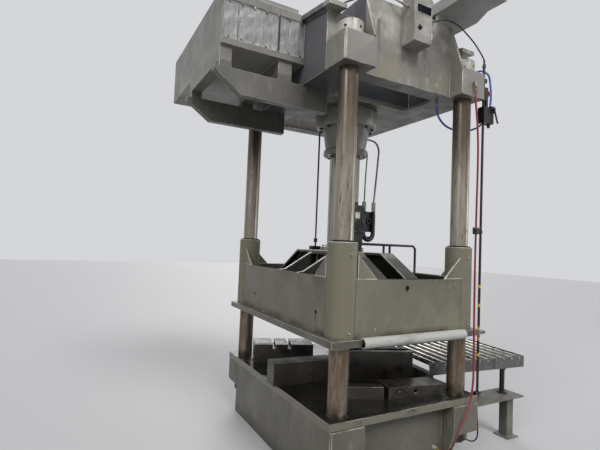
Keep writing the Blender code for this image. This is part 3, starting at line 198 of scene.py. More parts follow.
class Finish(Nodes):
    """A surface laid on in coats: a ground colour, then stains, wear and runs over it."""

    def __init__(self, name, ground, metal=0.0, coat=0.0):
        self.material = bpy.data.materials.new(name)
        self.material.use_nodes = True
        self.material.diffuse_color = linear(ground)
        super().__init__(self.material.node_tree)
        self.shader = self.tree.nodes["Principled BSDF"]
        self.fix(Metallic=metal, Coat_Weight=coat, Coat_Roughness=0.25)
        self.place = self.add("ShaderNodeTexCoord").outputs["Object"]
        self.colour = linear(ground)
        self.relief = None

    def fix(self, **values):
        """Sets constant values on the shader's own sockets."""
        for label, value in values.items():
            self.shader.inputs[label.replace("_", " ")].default_value = value
        return self

    def times(self, first, *masks):
        """The product of all of the masks."""
        for mask in masks:
            first = self.reckon("MULTIPLY", first, mask)
        return first

    def span(self, value, low, high, first=0.0, last=1.0):
        """value brought from low..high to first..last, with soft ends."""
        node = self.add("ShaderNodeMapRange", value, low, high, first, last, interpolation_type="SMOOTHSTEP")
        return node.outputs["Result"]

    def cloud(self, scale, low=0.0, high=1.0, stretch=(1, 1, 1), detail=5.0, shift=0.0):
        """Soft noise of that many patches to the metre, cut between low and high."""
        moved = (shift, shift * 0.7, shift * 1.3)
        mapping = self.add("ShaderNodeMapping", self.place, moved, (0, 0, 0), stretch)
        noise = self.add("ShaderNodeTexNoise", mapping.outputs[0], 0.0, scale, detail, 0.6)
        return self.span(noise.outputs["Fac"], low, high)

    def part(self, axis):
        """The place along one axis of the press."""
        return self.add("ShaderNodeSeparateXYZ", self.place).outputs["XYZ".index(axis)]

    def along(self, axis, low, high):
        """From 0 at low to 1 at high along an axis of the press."""
        return self.span(self.part(axis), low, high)

    def run_below(self, axis, at, top, length, width):
        """A drip that starts at height top, at one place along an axis, and fades out below it."""
        near = self.times(self.along(axis, at - width, at), self.along(axis, at + width, at))
        return self.times(near, self.along("Z", top - length, top), self.along("Z", top + 0.012, top - 0.004))

    def inside(self, low, high, soft=0.01):
        """1 inside the block between two corners of the press, 0 outside it."""
        walls = []
        for axis, near, far in zip("XYZ", low, high):
            walls += [self.along(axis, near - soft, near), self.along(axis, far + soft, far)]
        return self.times(*walls)

    def by_columns(self, x, y, near, far):
        """1 within near of the upright axes at plus and minus x and y, 0 beyond far."""
        squares = []
        for axis, middle in (("X", x), ("Y", y)):
            away = self.reckon("SUBTRACT", self.reckon("ABSOLUTE", self.part(axis)), middle)
            squares.append(self.times(away, away))
        return self.span(self.reckon("ADD", *squares), far * far, near * near)

    def under_slope(self, fall, level):
        """1 below a roof that falls by that much to each metre of Y, from level at Y 0."""
        height = self.reckon("MULTIPLY_ADD", self.reckon("ABSOLUTE", self.part("Y")), fall, self.part("Z"))
        return self.span(height, level + 0.004, level)

    def over(self, code, *masks):
        """A coat of another colour where all of the masks are."""
        node = self.add("ShaderNodeMix", self.times(*masks), data_type="RGBA")
        self.feed(node.inputs[6], self.colour)
        node.inputs[7].default_value = linear(code)
        self.colour = node.outputs[2]
        return self

    def stain(self, code, *cloud, **cut):
        """A coat of another colour in the patches of one cloud."""
        return self.over(code, self.cloud(*cloud, **cut))

    def rough(self, low, high, scale=7.0, stretch=(1, 1, 1)):
        """Roughness that varies from low to high in patches."""
        value = self.cloud(scale, 0.3, 0.7, stretch, 6.0, 3.1)
        self.feed(self.shader.inputs["Roughness"], self.span(value, 0.0, 1.0, low, high))
        return self

    def dents(self, height, scale, stretch=(1, 1, 1), detail=5.0):
        """Relief of that height in metres and that many dents to the metre."""
        hills = self.cloud(scale, 0.2, 0.8, stretch, detail, 9.7)
        bump = self.add("ShaderNodeBump", Distance=height, Height=hills)
        if self.relief is not None:
            self.feed(bump.inputs["Normal"], self.relief)
        self.relief = bump.outputs["Normal"]
        return self

    def done(self):
        """The finished material, with its colour and relief joined to the shader."""
        self.feed(self.shader.inputs["Base Color"], self.colour)
        if self.relief is not None:
            self.feed(self.shader.inputs["Normal"], self.relief)
        return self.material


# A route is traced in this many steps between its points, and hoses are drawn in lengths of HOSE_STEP.
TRACE = 24
HOSE_STEP = 0.012


def smooth_route(points, spacing):
    """Points every spacing metres along a smooth curve through the route's own points."""
    route = [Vector(p) for p in points]
    ends = [route[0] * 2 - route[1]] + route + [route[-1] * 2 - route[-2]]
    fine = []
    for i in range(1, len(ends) - 2):
        p0, p1, p2, p3 = ends[i - 1:i + 3]
        before, span, after = (p1 - p0).length, (p2 - p1).length, (p3 - p2).length
        slope_1 = (p1 - p0) * span / before - (p2 - p0) * span / (before + span) + (p2 - p1)
        slope_2 = (p3 - p2) * span / after - (p3 - p1) * span / (after + span) + (p2 - p1)
        for step in range(TRACE):
            t = step / TRACE
            fine.append(
                p1 * (1 - 3 * t * t + 2 * t ** 3)
                + p2 * (3 * t * t - 2 * t ** 3)
                + slope_1 * (t - 2 * t * t + t ** 3)
                + slope_2 * (t ** 3 - t * t)
            )
    fine.append(route[-1])
    total = sum((b - a).length for a, b in zip(fine, fine[1:]))
    count = max(2, round(total / spacing))
    result, walked, target = [fine[0]], 0.0, total / count
    for a, b in zip(fine, fine[1:]):
        length = (b - a).length
        while walked + length >= target - 1e-9 and len(result) < count:
            result.append(a + (b - a) * ((target - walked) / length))
            target += total / count
        walked += length
    result.append(fine[-1])
    return result


def round_curve(name, route, radius, finish, fineness=5):
    """A round tube along the route's points, as one capped curve."""
    curve = bpy.data.curves.new(name, "CURVE")
    curve.dimensions = "3D"
    curve.bevel_depth = radius
    curve.bevel_resolution = fineness
    curve.use_fill_caps = True
    spline = curve.splines.new("POLY")
    spline.points.add(len(route) - 1)
    for spot, point in zip(spline.points, route):
        spot.co = (*point, 1.0)
    spline.use_smooth = True
    curve.materials.append(finish)
    return curve


def settle(name, mesh, body, slot=None, *nodes):
    """Puts a finished mesh in the scene on its body, in place of the CAD nodes that it stands for."""
    obj = bpy.data.objects.new(name, mesh)
    mesh.name = name
    scene.collection.objects.link(obj)
    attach(obj, body)
    if nodes:
        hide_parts(*nodes)
    return obj


def free_hose(name, points, radius, finish, slot):
    """A round hose as one curve, riding on the press body in place of its CAD solid."""
    route = smooth_route(points, HOSE_STEP)
    hose = settle(name + "_shown", round_curve(name, route, radius, finish), "press", slot, name)
    return hose, sum((b - a).length for a, b in zip(route, route[1:]))


def mesh_of(bm, finish, sharp):
    """The mesh of a finished shell, smooth but for the edges that are sharper than so many degrees."""
    bmesh.ops.recalc_face_normals(bm, faces=bm.faces)
    mesh = bpy.data.meshes.new("shell")
    bm.to_mesh(mesh)
    bm.free()
    mesh.materials.append(finish)
    mesh.shade_smooth()
    mesh.set_sharp_from_angle(angle=math.radians(sharp))
    return mesh


def spun(name, profile, start, end, steps, finish, body, slot=None, *nodes, squares=(), bored=False):
    """A closed turned solid from start towards end. profile is (radius, distance along), and squares are
    the numbers of its hexagonal rows. A bored one is a ring, whose profile goes right round its section."""
    axis = Vector(end) - Vector(start)
    side, ahead = axis.orthogonal().normalized(), axis.normalized()
    other = ahead.cross(side)
    bm = bmesh.new()
    rings = []
    for row, (radius, far) in enumerate(profile):
        ring = []
        for step in range(steps):
            angle = 2 * math.pi * step / steps
            reach = radius
            if row in squares:
                reach = radius * math.cos(math.pi / 6) / math.cos(angle % (math.pi / 3) - math.pi / 6)
            spot = Vector(start) + ahead * far
            ring.append(bm.verts.new(spot + (side * math.cos(angle) + other * math.sin(angle)) * reach))
        rings.append(ring)
    for low, high in zip(rings, rings[1:] + rings[:1] if bored else rings[1:]):
        for i in range(steps):
            j = (i + 1) % steps
            bm.faces.new((low[i], low[j], high[j], high[i]))
    if not bored:
        bm.faces.new(rings[0][::-1])
        bm.faces.new(rings[-1])
    return settle(name, mesh_of(bm, finish, 32), body, slot, *nodes)


def hose_end(name, exit_point, way, radius, finish):
    """A crimped ferrule with three grooves and a hexagon nut, as on a workshop hose. The profile's radii
    are shares of the hose's own radius."""
    profile = [(1.02, 0.0), (1.55, 0.0005), (1.62, 0.0015), (1.62, 0.011), (1.55, 0.012), (1.25, 0.0125),
               (1.25, 0.0145), (1.38, 0.015)]
    at = 0.018
    for _ in range(3):
        profile += [(1.38, at), (1.26, at + 0.001), (1.26, at + 0.003), (1.38, at + 0.004)]
        at += 0.007
    profile += [(1.38, at + 0.004), (1.30, at + 0.0055), (1.02, at + 0.006)]
    profile = [(radius * share, far) for share, far in profile]
    start = Vector(exit_point)
    end = start + Vector(way) * (at + 0.006)
    return spun(name, profile, start, end, 24, finish, "press", squares=(1, 2, 3, 4))


brass = Finish("fitting_brass", "8c7444", 0.85).stain("4d4028", 60, 0.45, 0.7).stain("b59a62", 25, 0.55, 0.8)
brass = brass.rough(0.25, 0.5, 40).done()
bright_steel = Finish("zinc_steel", "a09f9b", 0.8).stain("5e5b55", 45, 0.45, 0.75).rough(0.25, 0.45, 30)
bright_steel = bright_steel.stain("c3c2be", 18, 0.6, 0.8).dents(0.0003, 120).done()
rubber = Finish("black_rubber", "0d0d0f").stain("1d1c1c", 9, 0.45, 0.75).stain("4a4640", 30, 0.62, 0.8)
rubber = rubber.rough(0.34, 0.62, 12).dents(0.0004, 150).done()
coat = Finish("red_rubber", "8f1a2c", coat=0.15)
coat.stain("5e1220", 6, 0.4, 0.7, (2, 2, 0.6)).stain("a8404c", 22, 0.6, 0.8)
coat.over("4a1a1c", coat.along("Z", 0.75, 0.15))
red_rubber = coat.rough(0.3, 0.5, 12).dents(0.0004, 180).done()
coat = Finish("blue_tube", "3f5fc4", coat=0.2).stain("2a459c", 8, 0.4, 0.7).stain("5570c4", 18, 0.6, 0.85)
blue_tube = coat.rough(0.18, 0.36, 15).dents(0.0003, 140).done()

# The ends of each cord stop this far short of the face that they go into.
GAP = 0.0003
RED_EXIT = (0.600, -1.080, 3.228 - GAP)
red_points = [
    RED_EXIT, (0.600, -1.080, 3.160), (0.606, -1.081, 3.080), (0.624, -1.083, 2.940),
    (0.642, -1.082, 2.760), (0.650, -1.079, 2.500), (0.650, -1.076, 2.200), (0.646, -1.076, 1.700),
    (0.650, -1.076, 1.200), (0.653, -1.078, 0.880), (0.643, -1.084, 0.700), (0.610, -1.090, 0.560),
    (0.545, -1.092, 0.440), (0.470, -1.092, 0.320), (0.424, -1.089, 0.240), (0.400, -1.074, 0.186),
    (0.387, -1.043, 0.153), (0.380, -1.000, 0.140), (0.380, -0.948 - GAP, 0.140),
]
red_hose, red_length = free_hose("red_hose", red_points, 0.0085, red_rubber, "hose_red")
red_top = hose_end("red_hose_top_fitting", RED_EXIT, (0, 0, -1), 0.0085, brass)
red_foot = hose_end("red_hose_foot_fitting", red_points[-1], (0, -1, 0), 0.0085, brass)

BLUE_EXIT = (0.798, -0.860, 3.374 + GAP)
blue_points = [
    BLUE_EXIT, (0.798, -0.860, 3.400), (0.8068, -0.8672, 3.4425), (0.8309, -0.8869, 3.4736),
    (0.8639, -0.9137, 3.4850), (0.8968, -0.9406, 3.4736), (0.9209, -0.9602, 3.4425),
    (0.9298, -0.9674, 3.4000), (0.9350, -0.9716, 3.3350), (0.942, -0.974, 3.260),
    (0.942, -0.970, 3.180), (0.934, -0.957, 3.100), (0.914, -0.935, 3.026), (0.876, -0.900, 2.966),
    (0.820, -0.860, 2.932), (0.750, -0.818, 2.921), (0.675, -0.788, 2.926), (0.600, -0.770, 2.947),
    (0.530, -0.765, 2.987), (0.476, -0.774, 3.035), (0.448, -0.785, 3.082), (0.440, -0.790, 3.122),
    (0.440, -0.790, 3.150 - GAP),
]
blue_hose, blue_length = free_hose("blue_hose", blue_points, 0.009, blue_tube, "hose_blue")
blue_top = hose_end("blue_hose_side_fitting", BLUE_EXIT, (0, 0, 1), 0.009, bright_steel)
blue_far = hose_end("blue_hose_crown_fitting", blue_points[-1], (0, 0, -1), 0.009, bright_steel)

SCALE_X, SCALE_Y = 0.805, -1.0
CABLE_EXIT = (0.100 + GAP, SCALE_Y, 3.700)
cable_places = [
    (0.130, 3.701), (0.170, 3.713), (0.220, 3.736), (0.290, 3.762), (0.370, 3.774), (0.480, 3.757),
    (0.580, 3.713), (0.680, 3.656), (0.745, 3.603), (0.7835, 3.5683), (0.7994, 3.5464), (0.805, 3.5200),
    (0.805, 3.500 + GAP),
]
cable_points = [CABLE_EXIT] + [(x, SCALE_Y, z) for x, z in cable_places]
black_cable, cable_length = free_hose("black_cable", cable_points, 0.006, rubber, "hose_black")
cable_gland = hose_end("black_cable_gland", CABLE_EXIT, (1, 0, 0), 0.006, rubber)
cable_foot = hose_end("black_cable_sleeve", cable_points[-1], (0, 0, 1), 0.006, rubber)

TAIL_EXIT = (0.805, -1.000, 0.520 - GAP)
tail_points = [
    TAIL_EXIT, (0.805, -1.000, 0.460), (0.811, -1.000, 0.360), (0.823, -0.999, 0.240),
    (0.833, -0.984, 0.165), (0.841, -0.935, 0.112), (0.845, -0.860, 0.098), (0.8450, -0.7880, 0.100),
    (0.8372, -0.7590, 0.100), (0.8160, -0.7378, 0.100), (0.7870, -0.730, 0.100), (0.776 + GAP, -0.730, 0.100),
]
tail_cable, tail_length = free_hose("tail_cable", tail_points, 0.006, rubber, "hose_black")
tail_sleeve = hose_end("tail_cable_sleeve", TAIL_EXIT, (0, 0, -1), 0.006, rubber)

# COLUMNS AND NUTS
# Four ground steel bars hold the crown over the base. They are greyish brown with oil above the slide,
# darker and rustier under it, and large round nuts with tommy holes clamp the crown on them.
coat = Finish("column_bar", "8b8478", 0.5)
coat.stain("a09b90", 3.0, 0.45, 0.7, (3, 3, 0.5)).stain("786c5c", 5.0, 0.48, 0.7, (5, 5, 0.35), 6, 4.0)
coat.stain("4a4034", 9.0, 0.56, 0.75, (6, 6, 0.5), 7, 8.0)
coat.over("5f5040", coat.along("Z", 1.10, 1.02), coat.cloud(4, 0.2, 0.6, (4, 4, 0.6)))
coat.over("7d6e5c", coat.along("Z", 1.06, 0.98), coat.cloud(9, 0.5, 0.66, (3, 3, 0.8), 6, 5))
coat.over("2e2822", coat.along("Z", 0.68, 0.57), coat.cloud(12, 0.3, 0.6))
coat.over("5a4f44", coat.along("Z", 2.30, 2.95), coat.cloud(3, 0.05, 0.45, (4, 4, 0.6), 5, 2))
coat.stain("2a231c", 14, 0.62, 0.74, (3, 3, 0.6), 6, 12.0).stain("c9c4b8", 40, 0.66, 0.8, (1, 1, 0.15))
column_steel = coat.rough(0.19, 0.36, 6, (3, 3, 0.5)).dents(0.0003, 90, (1, 1, 0.08)).done()


def turned_column(corner):
    """The bar, with its fused lower nut, turned round from its CAD node's own box."""
    low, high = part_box("column_" + corner)
    middle = (low + high) / 2
    r, nut_r, nut_top = 0.0762, 0.102, 0.105
    profile = [(0.071, 0.0), (r, 0.005), (r, 0.024), (nut_r - 0.004, 0.0252), (nut_r, 0.029), (nut_r, 0.101),
               (nut_r - 0.003, 0.1045), (r, nut_top)]
    height = high.z - low.z
    profile += [(r, nut_top + (height - 0.111) * step / 40) for step in range(1, 40)]
    profile += [(r, height - 0.005), (0.072, height)]
    return spun(f"column_{corner}_bar", profile, (middle.x, middle.y, low.z), (middle.x, middle.y, high.z), 72,
                column_steel, "press", "column_steel", "column_" + corner)


COLUMN_X, COLUMN_Y = 0.62, 0.92
CORNERS = {
    "front_left": (-COLUMN_X, -COLUMN_Y), "front_right": (COLUMN_X, -COLUMN_Y),
    "rear_left": (-COLUMN_X, COLUMN_Y), "rear_right": (COLUMN_X, COLUMN_Y),
}
for corner in CORNERS:
    turned_column(corner)


# Points nearer than this are one point, facets nearer to a plane than this are one face, and edges
# sharper than this are broken.
MERGE, FLAT, SHARP = 0.00002, math.radians(0.6), math.radians(40)


def dressed(node, finish, slot, edge=None, width=0.0025, angle=35):
    """A merged copy of a CAD solid with its edges broken and worn, as handling leaves them, and a pale edge
    finish also paints a highlight along them.
    """
    cad = frame["nodes"][node]
    bm = bmesh.new()
    bm.from_mesh(cad.data)
    bmesh.ops.remove_doubles(bm, verts=bm.verts, dist=MERGE)
    bmesh.ops.dissolve_limit(bm, angle_limit=FLAT, verts=bm.verts, edges=bm.edges)
    for face in bm.faces:
        face.material_index = 0
    mesh = bpy.data.meshes.new(node + "_shown")
    bm.to_mesh(mesh)
    bm.free()
    mesh.materials.append(finish)
    if edge is not None:
        mesh.materials.append(edge)
    mesh.shade_smooth()
    mesh.set_sharp_from_angle(angle=math.radians(angle))
    piece = settle(node + "_shown", mesh, cad["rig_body"], slot, node)
    bevel = piece.modifiers.new("broken_edges", "BEVEL")
    bevel.width = width
    bevel.segments = 2
    bevel.limit_method = "ANGLE"
    bevel.angle_limit = SHARP
    bevel.use_clamp_overlap = False
    bevel.harden_normals = True
    bevel.material = 1 if edge is not None else -1
    return piece


def enamel(name, ground, light, dark, oil):
    """Old enamel: dust and thin paint in patches, darker hand grease, and oil runs down it."""
    coat = Finish(name, ground, coat=0.12)
    coat.stain(light, 2.2, 0.46, 0.72, (1, 1, 0.7)).stain(dark, 1.4, 0.48, 0.72, (1, 1, 1), 6, 5.0)
    coat.stain(light, 16, 0.56, 0.74, (1, 1, 0.5), 6, 2.0)
    return coat.over(oil, coat.cloud(7, 0.60, 0.76, (1.6, 1.6, 0.12), 5, 7.0), coat.cloud(1.1, 0.45, 0.65))


# A pale finish for the broken edges of painted solids: rubbed paint, and a painted highlight along the edges
# too.
coat = Finish("worn_edge", "b4b0a3", 0.25).stain("6f6b5e", 9, 0.42, 0.62).stain("cfccc2", 30, 0.55, 0.75)
edge_wear_and_highlight = coat.rough(0.3, 0.5, 20).dents(0.0004, 90).done()

coat = enamel("nut_enamel", "aaa8a2", "c8c6c0", "6b6860", "35312a")
# Painted shade: near black at the bottoms of the tommy holes.
coat.over("0b0a09", coat.by_columns(COLUMN_X, COLUMN_Y, 0.0955, 0.0985),
          coat.inside((-1, -2, 3.42), (1, 2, 3.455)))
nut_enamel = coat.rough(0.35, 0.55, 9).dents(0.0006, 60).done()
for corner in CORNERS:
    dressed("crown_nut_" + corner, nut_enamel, "press_paint", edge_wear_and_highlight, 0.002)

# CROWN
# A welded box of thick plate with a machined block at each corner. Its enamel is dusty and worn through in pale
# clouds on the front end plate, and its edges are rubbed and painted pale as a highlight. Shade is painted on
# it: bluish dark inside the box, on its left side and behind the front left nut, and darker in patches
# underneath.
coat = enamel("crown_enamel", "85827c", "a19e98", "6c6a64", "47443d")
end_plate = coat.along("Y", -0.80, -0.90)
coat.over("b9b6ae", coat.cloud(4.2, 0.50, 0.68, (1, 1, 0.8), 7, 11.0), end_plate, coat.along("Z", 3.42, 3.60))
coat.over("8d8468", coat.cloud(8, 0.5, 0.7, (1.4, 1.4, 0.4), 5, 1.0), coat.along("Z", 3.42, 3.22), end_plate)
coat.stain("c9c7c0", 60, 0.69, 0.76)
coat.over("55524a", coat.run_below("X", 0.150, 3.50, 0.30, 0.050))
coat.over("5d594f", coat.run_below("X", -0.350, 3.62, 0.40, 0.030))
# Painted shade, bluish dark: inside the box between the side girders, on the left girder, and in the recess
# behind the front left nut.
coat.over("474b4f", coat.inside((-0.462, -0.780, 3.20), (0.462, 0.780, 3.74), 0.012))
coat.over("5c5d62", coat.inside((-0.82, -0.790, 3.14), (-0.462, 0.420, 3.80), 0.004))
coat.over("45464b", coat.inside((-0.640, -0.922, 3.390), (-0.470, -0.780, 3.775), 0.012))
coat.over("83817d", coat.inside((-0.80, -1.08, 3.14), (0.80, -1.040, 3.375), 0.010),
          coat.cloud(5, 0.25, 0.55, shift=13))
# Painted shade: the underside darker in patches.
coat.over("4f4d47", coat.along("Z", 3.157, 3.149), coat.cloud(3, 0.3, 0.6, shift=6))
crown_finish = coat.rough(0.36, 0.56, 5).dents(0.0010, 12).dents(0.0003, 150).done()
dressed("crown_frame", crown_finish, "crown_paint", edge_wear_and_highlight, 0.0045)


class Growth(Nodes):
    """A geometry node tree with named sizes and a finish."""

    def __init__(self, name, sizes):
        super().__init__(bpy.data.node_groups.new(name, "GeometryNodeTree"))
        face = self.tree.interface
        for way in ("OUTPUT", "INPUT"):
            face.new_socket("Geometry", in_out=way, socket_type="NodeSocketGeometry")
        kinds = {int: "NodeSocketInt", float: "NodeSocketFloat"}
        for label, value in sizes.items():
            kind = kinds.get(type(value), "NodeSocketMaterial")
            face.new_socket(label, in_out="INPUT", socket_type=kind).default_value = value
        self.given = self.add("NodeGroupInput").outputs

    def scaled(self, size, factor):
        """One of the tree's sizes times a factor."""
        return self.reckon("MULTIPLY", size, factor)

    def chance(self, low, high):
        """A random number between low and high, from the tree's own seed."""
        node = self.add("FunctionNodeRandomValue", data_type="FLOAT", Seed=self.given["Seed"])
        self.feed(node.inputs[2], low)
        self.feed(node.inputs[3], high)
        return node.outputs[1]

    def close(self, shape):
        """Makes the shape a plain mesh in the tree's finish, and ends the tree."""
        whole = self.add("GeometryNodeRealizeInstances", shape)
        paint = self.add("GeometryNodeSetMaterial", whole.outputs[0], Material=self.given["Finish"])
        self.add("NodeGroupOutput", paint.outputs[0])
        return self.tree

    def on_points(self, shape, **named):
        """Puts the shape on every point of the mesh, and ends the tree."""
        place = self.add("GeometryNodeInstanceOnPoints", self.given["Geometry"], Instance=shape, **named)
        return self.close(place.outputs[0])


def grown(name, mesh, tree, body, slot=None, **sizes):
    """Runs a geometry node tree on a mesh and keeps the plain mesh that comes out of it."""
    obj = bpy.data.objects.new(name + "_seed", mesh)
    scene.collection.objects.link(obj)
    modifier = obj.modifiers.new("tree", "NODES")
    modifier.node_group = tree
    labels = {s.name: s.identifier for s in tree.interface.items_tree if s.in_out == "INPUT"}
    for label, value in sizes.items():
        modifier[labels[label.replace("_", " ")]] = value
    view = bpy.context.evaluated_depsgraph_get()
    made = bpy.data.meshes.new_from_object(obj.evaluated_get(view))
    obj.modifiers.clear()
    bpy.data.objects.remove(obj)
    return settle(name, made, body, slot)


def weld_tree(finish):
    """A fillet weld along every edge of the mesh: a thin bead whose ripples follow its length."""
    weld = Growth("weld_bead", {"Bead radius": 0.0045, "Ripple": 0.22, "Pitch": 0.006, "Seed": 3,
                                "Finish": finish})
    path = weld.add("GeometryNodeMeshToCurve", weld.given["Geometry"])
    evenly = weld.add("GeometryNodeResampleCurve", mode="LENGTH", Curve=path.outputs[0],
                      Length=weld.given["Pitch"])
    low, high = (weld.reckon(operation, 1.0, weld.given["Ripple"]) for operation in ("SUBTRACT", "ADD"))
    ring = weld.add("GeometryNodeCurvePrimitiveCircle", Resolution=8, Radius=1.0)
    sweep = weld.add("GeometryNodeCurveToMesh", evenly.outputs[0], ring.outputs[0], Fill_Caps=True,
                     Scale=weld.scaled(weld.chance(low, high), weld.given["Bead radius"]))
    soft = weld.add("GeometryNodeSetShadeSmooth", sweep.outputs[0])
    return weld.close(soft.outputs[0])


def welds(name, lines, finish, body):
    """Beads along runs of points, in the paint of what they join."""
    seams = bpy.data.meshes.new("seams")
    points, edges = [], []
    for line in lines:
        edges += [(len(points) + i, len(points) + i + 1) for i in range(len(line) - 1)]
        points += line
    seams.from_pydata(points, edges, [])
    slot = "crown_paint" if finish is crown_finish else "press_paint"
    return grown(name, seams, weld_tree(finish), body, slot, Finish=finish)


def bolt_tree(finish):
    """A hexagon head with its chamfer and washer on every point of the mesh, faced along the point's
    own direction and turned at random about it."""
    bolt = Growth("hexagon_bolts", {"Head size": 0.010, "Head height": 0.008, "Seed": 5, "Finish": finish})
    size, height = bolt.given["Head size"], bolt.given["Head height"]
    parts = bolt.add("GeometryNodeJoinGeometry")
    for corners, foot, head, tall, rise in (
        (6, 1.0, 1.0, 0.80, 0.10), (6, 0.999, 0.84, 0.20, 0.90), (16, 1.25, 1.25, 0.14, 0.0),
    ):
        cone = bolt.add("GeometryNodeMeshCone", Vertices=corners, Radius_Bottom=bolt.scaled(size, foot),
                        Radius_Top=bolt.scaled(size, head), Depth=bolt.scaled(height, tall))
        spot = bolt.add("ShaderNodeCombineXYZ", Z=bolt.scaled(height, rise))
        lift = bolt.add("GeometryNodeTransform", cone.outputs["Mesh"], Translation=spot.outputs[0])
        bolt.feed(parts.inputs[0], lift.outputs[0])
    facing = bolt.add("GeometryNodeInputNamedAttribute", data_type="FLOAT_VECTOR", Name="facing")
    stand = bolt.add("FunctionNodeAlignRotationToVector", axis="Z", Vector=facing.outputs["Attribute"])
    turn = bolt.add("FunctionNodeAxisAngleToRotation", Axis=(0, 0, 1), Angle=bolt.chance(0.0, 1.047))
    both = bolt.add("FunctionNodeRotateRotation", stand.outputs[0], turn.outputs[0], rotation_space="LOCAL")
    return bolt.on_points(parts.outputs[0], Rotation=both.outputs[0])


def spots(pairs):
    """A mesh of loose points, each with the direction that the bolt on it faces."""
    mesh = bpy.data.meshes.new("spots")
    mesh.from_pydata([point for point, way in pairs], [], [])
    facing = mesh.attributes.new("facing", "FLOAT_VECTOR", "POINT")
    for number, (point, way) in enumerate(pairs):
        facing.data[number].vector = way
    return mesh


BLOCK_FOOT, BLOCK_TOP = 3.158, 3.384
crown_seams = []
for sx in (-1, 1):
    for sy in (-1, 1):
        for x, y, low_z, high_x, high_z in (
            (0.4875, 0.9185, BLOCK_FOOT, 0.4875, 3.378), (0.463, 0.9185, BLOCK_TOP, 0.463, 3.780),
            (0.754, 0.795, BLOCK_FOOT, 0.754, 3.378), (0.490, 0.795, BLOCK_TOP, 0.735, BLOCK_TOP),
            (0.488, 0.795, 3.386, 0.488, 3.600),
        ):
            crown_seams.append([(sx * x, sy * y, low_z), (sx * high_x, sy * y, high_z)])
for y in (-0.380, 0.380):
    crown_seams.append([(-0.460, y, 3.192), (0.460, y, 3.192)])
welds("crown_welds", crown_seams, crown_finish, "press")

# CYLINDER AND RAM
# The cylinder is a casting with a thick flange under the crown and a cone below it, closed by a gland
# ring. The ground ram comes out of the gland and is bolted to the slide by its own flange.
coat = enamel("cylinder_enamel", "828078", "989690", "55524a", "2e2a24")
coat.over("26231e", coat.cloud(9, 0.5, 0.7), coat.along("Z", 2.86, 2.72))
cylinder_enamel = coat.rough(0.30, 0.5, 6).dents(0.0012, 30).dents(0.0004, 140).done()
dressed("cylinder", cylinder_enamel, "crown_paint", edge_wear_and_highlight, 0.003, 40)
dressed("gland_ring", cylinder_enamel, "press_paint", edge_wear_and_highlight, 0.0015, 40)
coat = Finish("black_bolt", "3a3834", 0.5).stain("6f6b62", 60, 0.5, 0.7)
black_bolt = coat.stain("1b1a18", 30, 0.55, 0.75, shift=2).rough(0.3, 0.5, 30).done()
hexagons = bolt_tree(black_bolt)
BOLT_CIRCLE, FLANGE_FACE_Z = 0.262, 2.976
flange_bolts = []
for number in range(12):
    angle = math.radians(15 + 30 * number)
    spot = (BOLT_CIRCLE * math.cos(angle), BOLT_CIRCLE * math.sin(angle), FLANGE_FACE_Z)
    flange_bolts.append((spot, (0, 0, -1)))
grown("cylinder_flange_bolts", spots(flange_bolts), hexagons, "press", "crown_paint",
      Head_size=0.016, Head_height=0.014, Finish=black_bolt)
coat = Finish("ground_ram", "8f8b84", 0.9).stain("5c564c", 4, 0.5, 0.75, (4, 4, 0.4))
coat.stain("b9b6b0", 9, 0.55, 0.75, (3, 3, 0.3), 5, 3.0).rough(0.14, 0.3, 5, (3, 3, 0.4))
dressed("ram", coat.dents(0.0002, 120, (1, 1, 0.05)).done(), "ram_steel", None, 0.0015, 40)

# PIPES AND COUPLING
# Two steel pipes come off the cylinder's side and meet in a rubber-sleeved return bend. A black
# connector block stands beside the ram on its bracket, with a blank pale plate on it.
coat = Finish("black_enamel", "0a0a0c", coat=0.1).stain("171615", 6, 0.45, 0.7).stain("45423c", 24, 0.66, 0.82)
black_enamel = coat.rough(0.26, 0.5, 8).dents(0.0006, 60).done()
black_wear = Finish("black_wear", "2b2a28", 0.2).stain("66635b", 25, 0.5, 0.7).rough(0.3, 0.5, 15).done()
coat = Finish("pipe_steel", "8b887f", 0.7).stain("5b5549", 9, 0.45, 0.7).stain("b5b1a6", 20, 0.58, 0.78)
coat.over("121214", coat.along("Z", 2.185, 2.170)).rough(0.25, 0.45, 12).dents(0.0003, 90)
pipe_steel = coat.done()
dressed("supply_pipe", pipe_steel, "black_steel", None, 0.0008, 50)
dressed("pilot_pipe", pipe_steel, "black_steel", None, 0.0008, 50)
dressed("hose_coupling", black_enamel, "black_steel", black_wear, 0.004)
PILOT_X, SUPPLY_X, PIPE_Y = 0.285, 0.410, 0.030
BEND_X, BEND_R = (PILOT_X + SUPPLY_X) / 2, (SUPPLY_X - PILOT_X) / 2
bend_route = [(PILOT_X, PIPE_Y, 2.150), (PILOT_X, PIPE_Y, 1.990)]
for step in range(17):
    angle = math.pi * step / 16
    bend_route.append((BEND_X - BEND_R * math.cos(angle), PIPE_Y, 1.9385 - BEND_R * math.sin(angle)))
bend_route += [(SUPPLY_X, PIPE_Y, 1.990), (SUPPLY_X, PIPE_Y, 2.150)]
sleeve = round_curve("return_bend_sleeve", smooth_route(bend_route, 0.010), 0.0235, rubber, 6)
for spot in list(sleeve.splines[0].points)[::3]:
    spot.radius = 0.93
sleeve_obj = bpy.data.objects.new("return_bend_sleeve_curve", sleeve)
scene.collection.objects.link(sleeve_obj)
sleeve_mesh = bpy.data.meshes.new_from_object(sleeve_obj)
bpy.data.objects.remove(sleeve_obj)
settle("return_bend_sleeve", sleeve_mesh, "press", "black_steel")


def plate(name, low, high, finish, body, slot=None, edge=0.0012):
    """A thin plate with broken edges."""
    bm = bmesh.new()
    bmesh.ops.create_cube(bm, size=1.0)
    middle, size = (Vector(low) + Vector(high)) / 2, Vector(high) - Vector(low)
    for vert in bm.verts:
        vert.co = middle + vert.co * size
    bmesh.ops.bevel(bm, geom=bm.edges[:], offset=edge, segments=2, affect="EDGES", clamp_overlap=True)
    return settle(name, mesh_of(bm, finish, 40), body, slot)


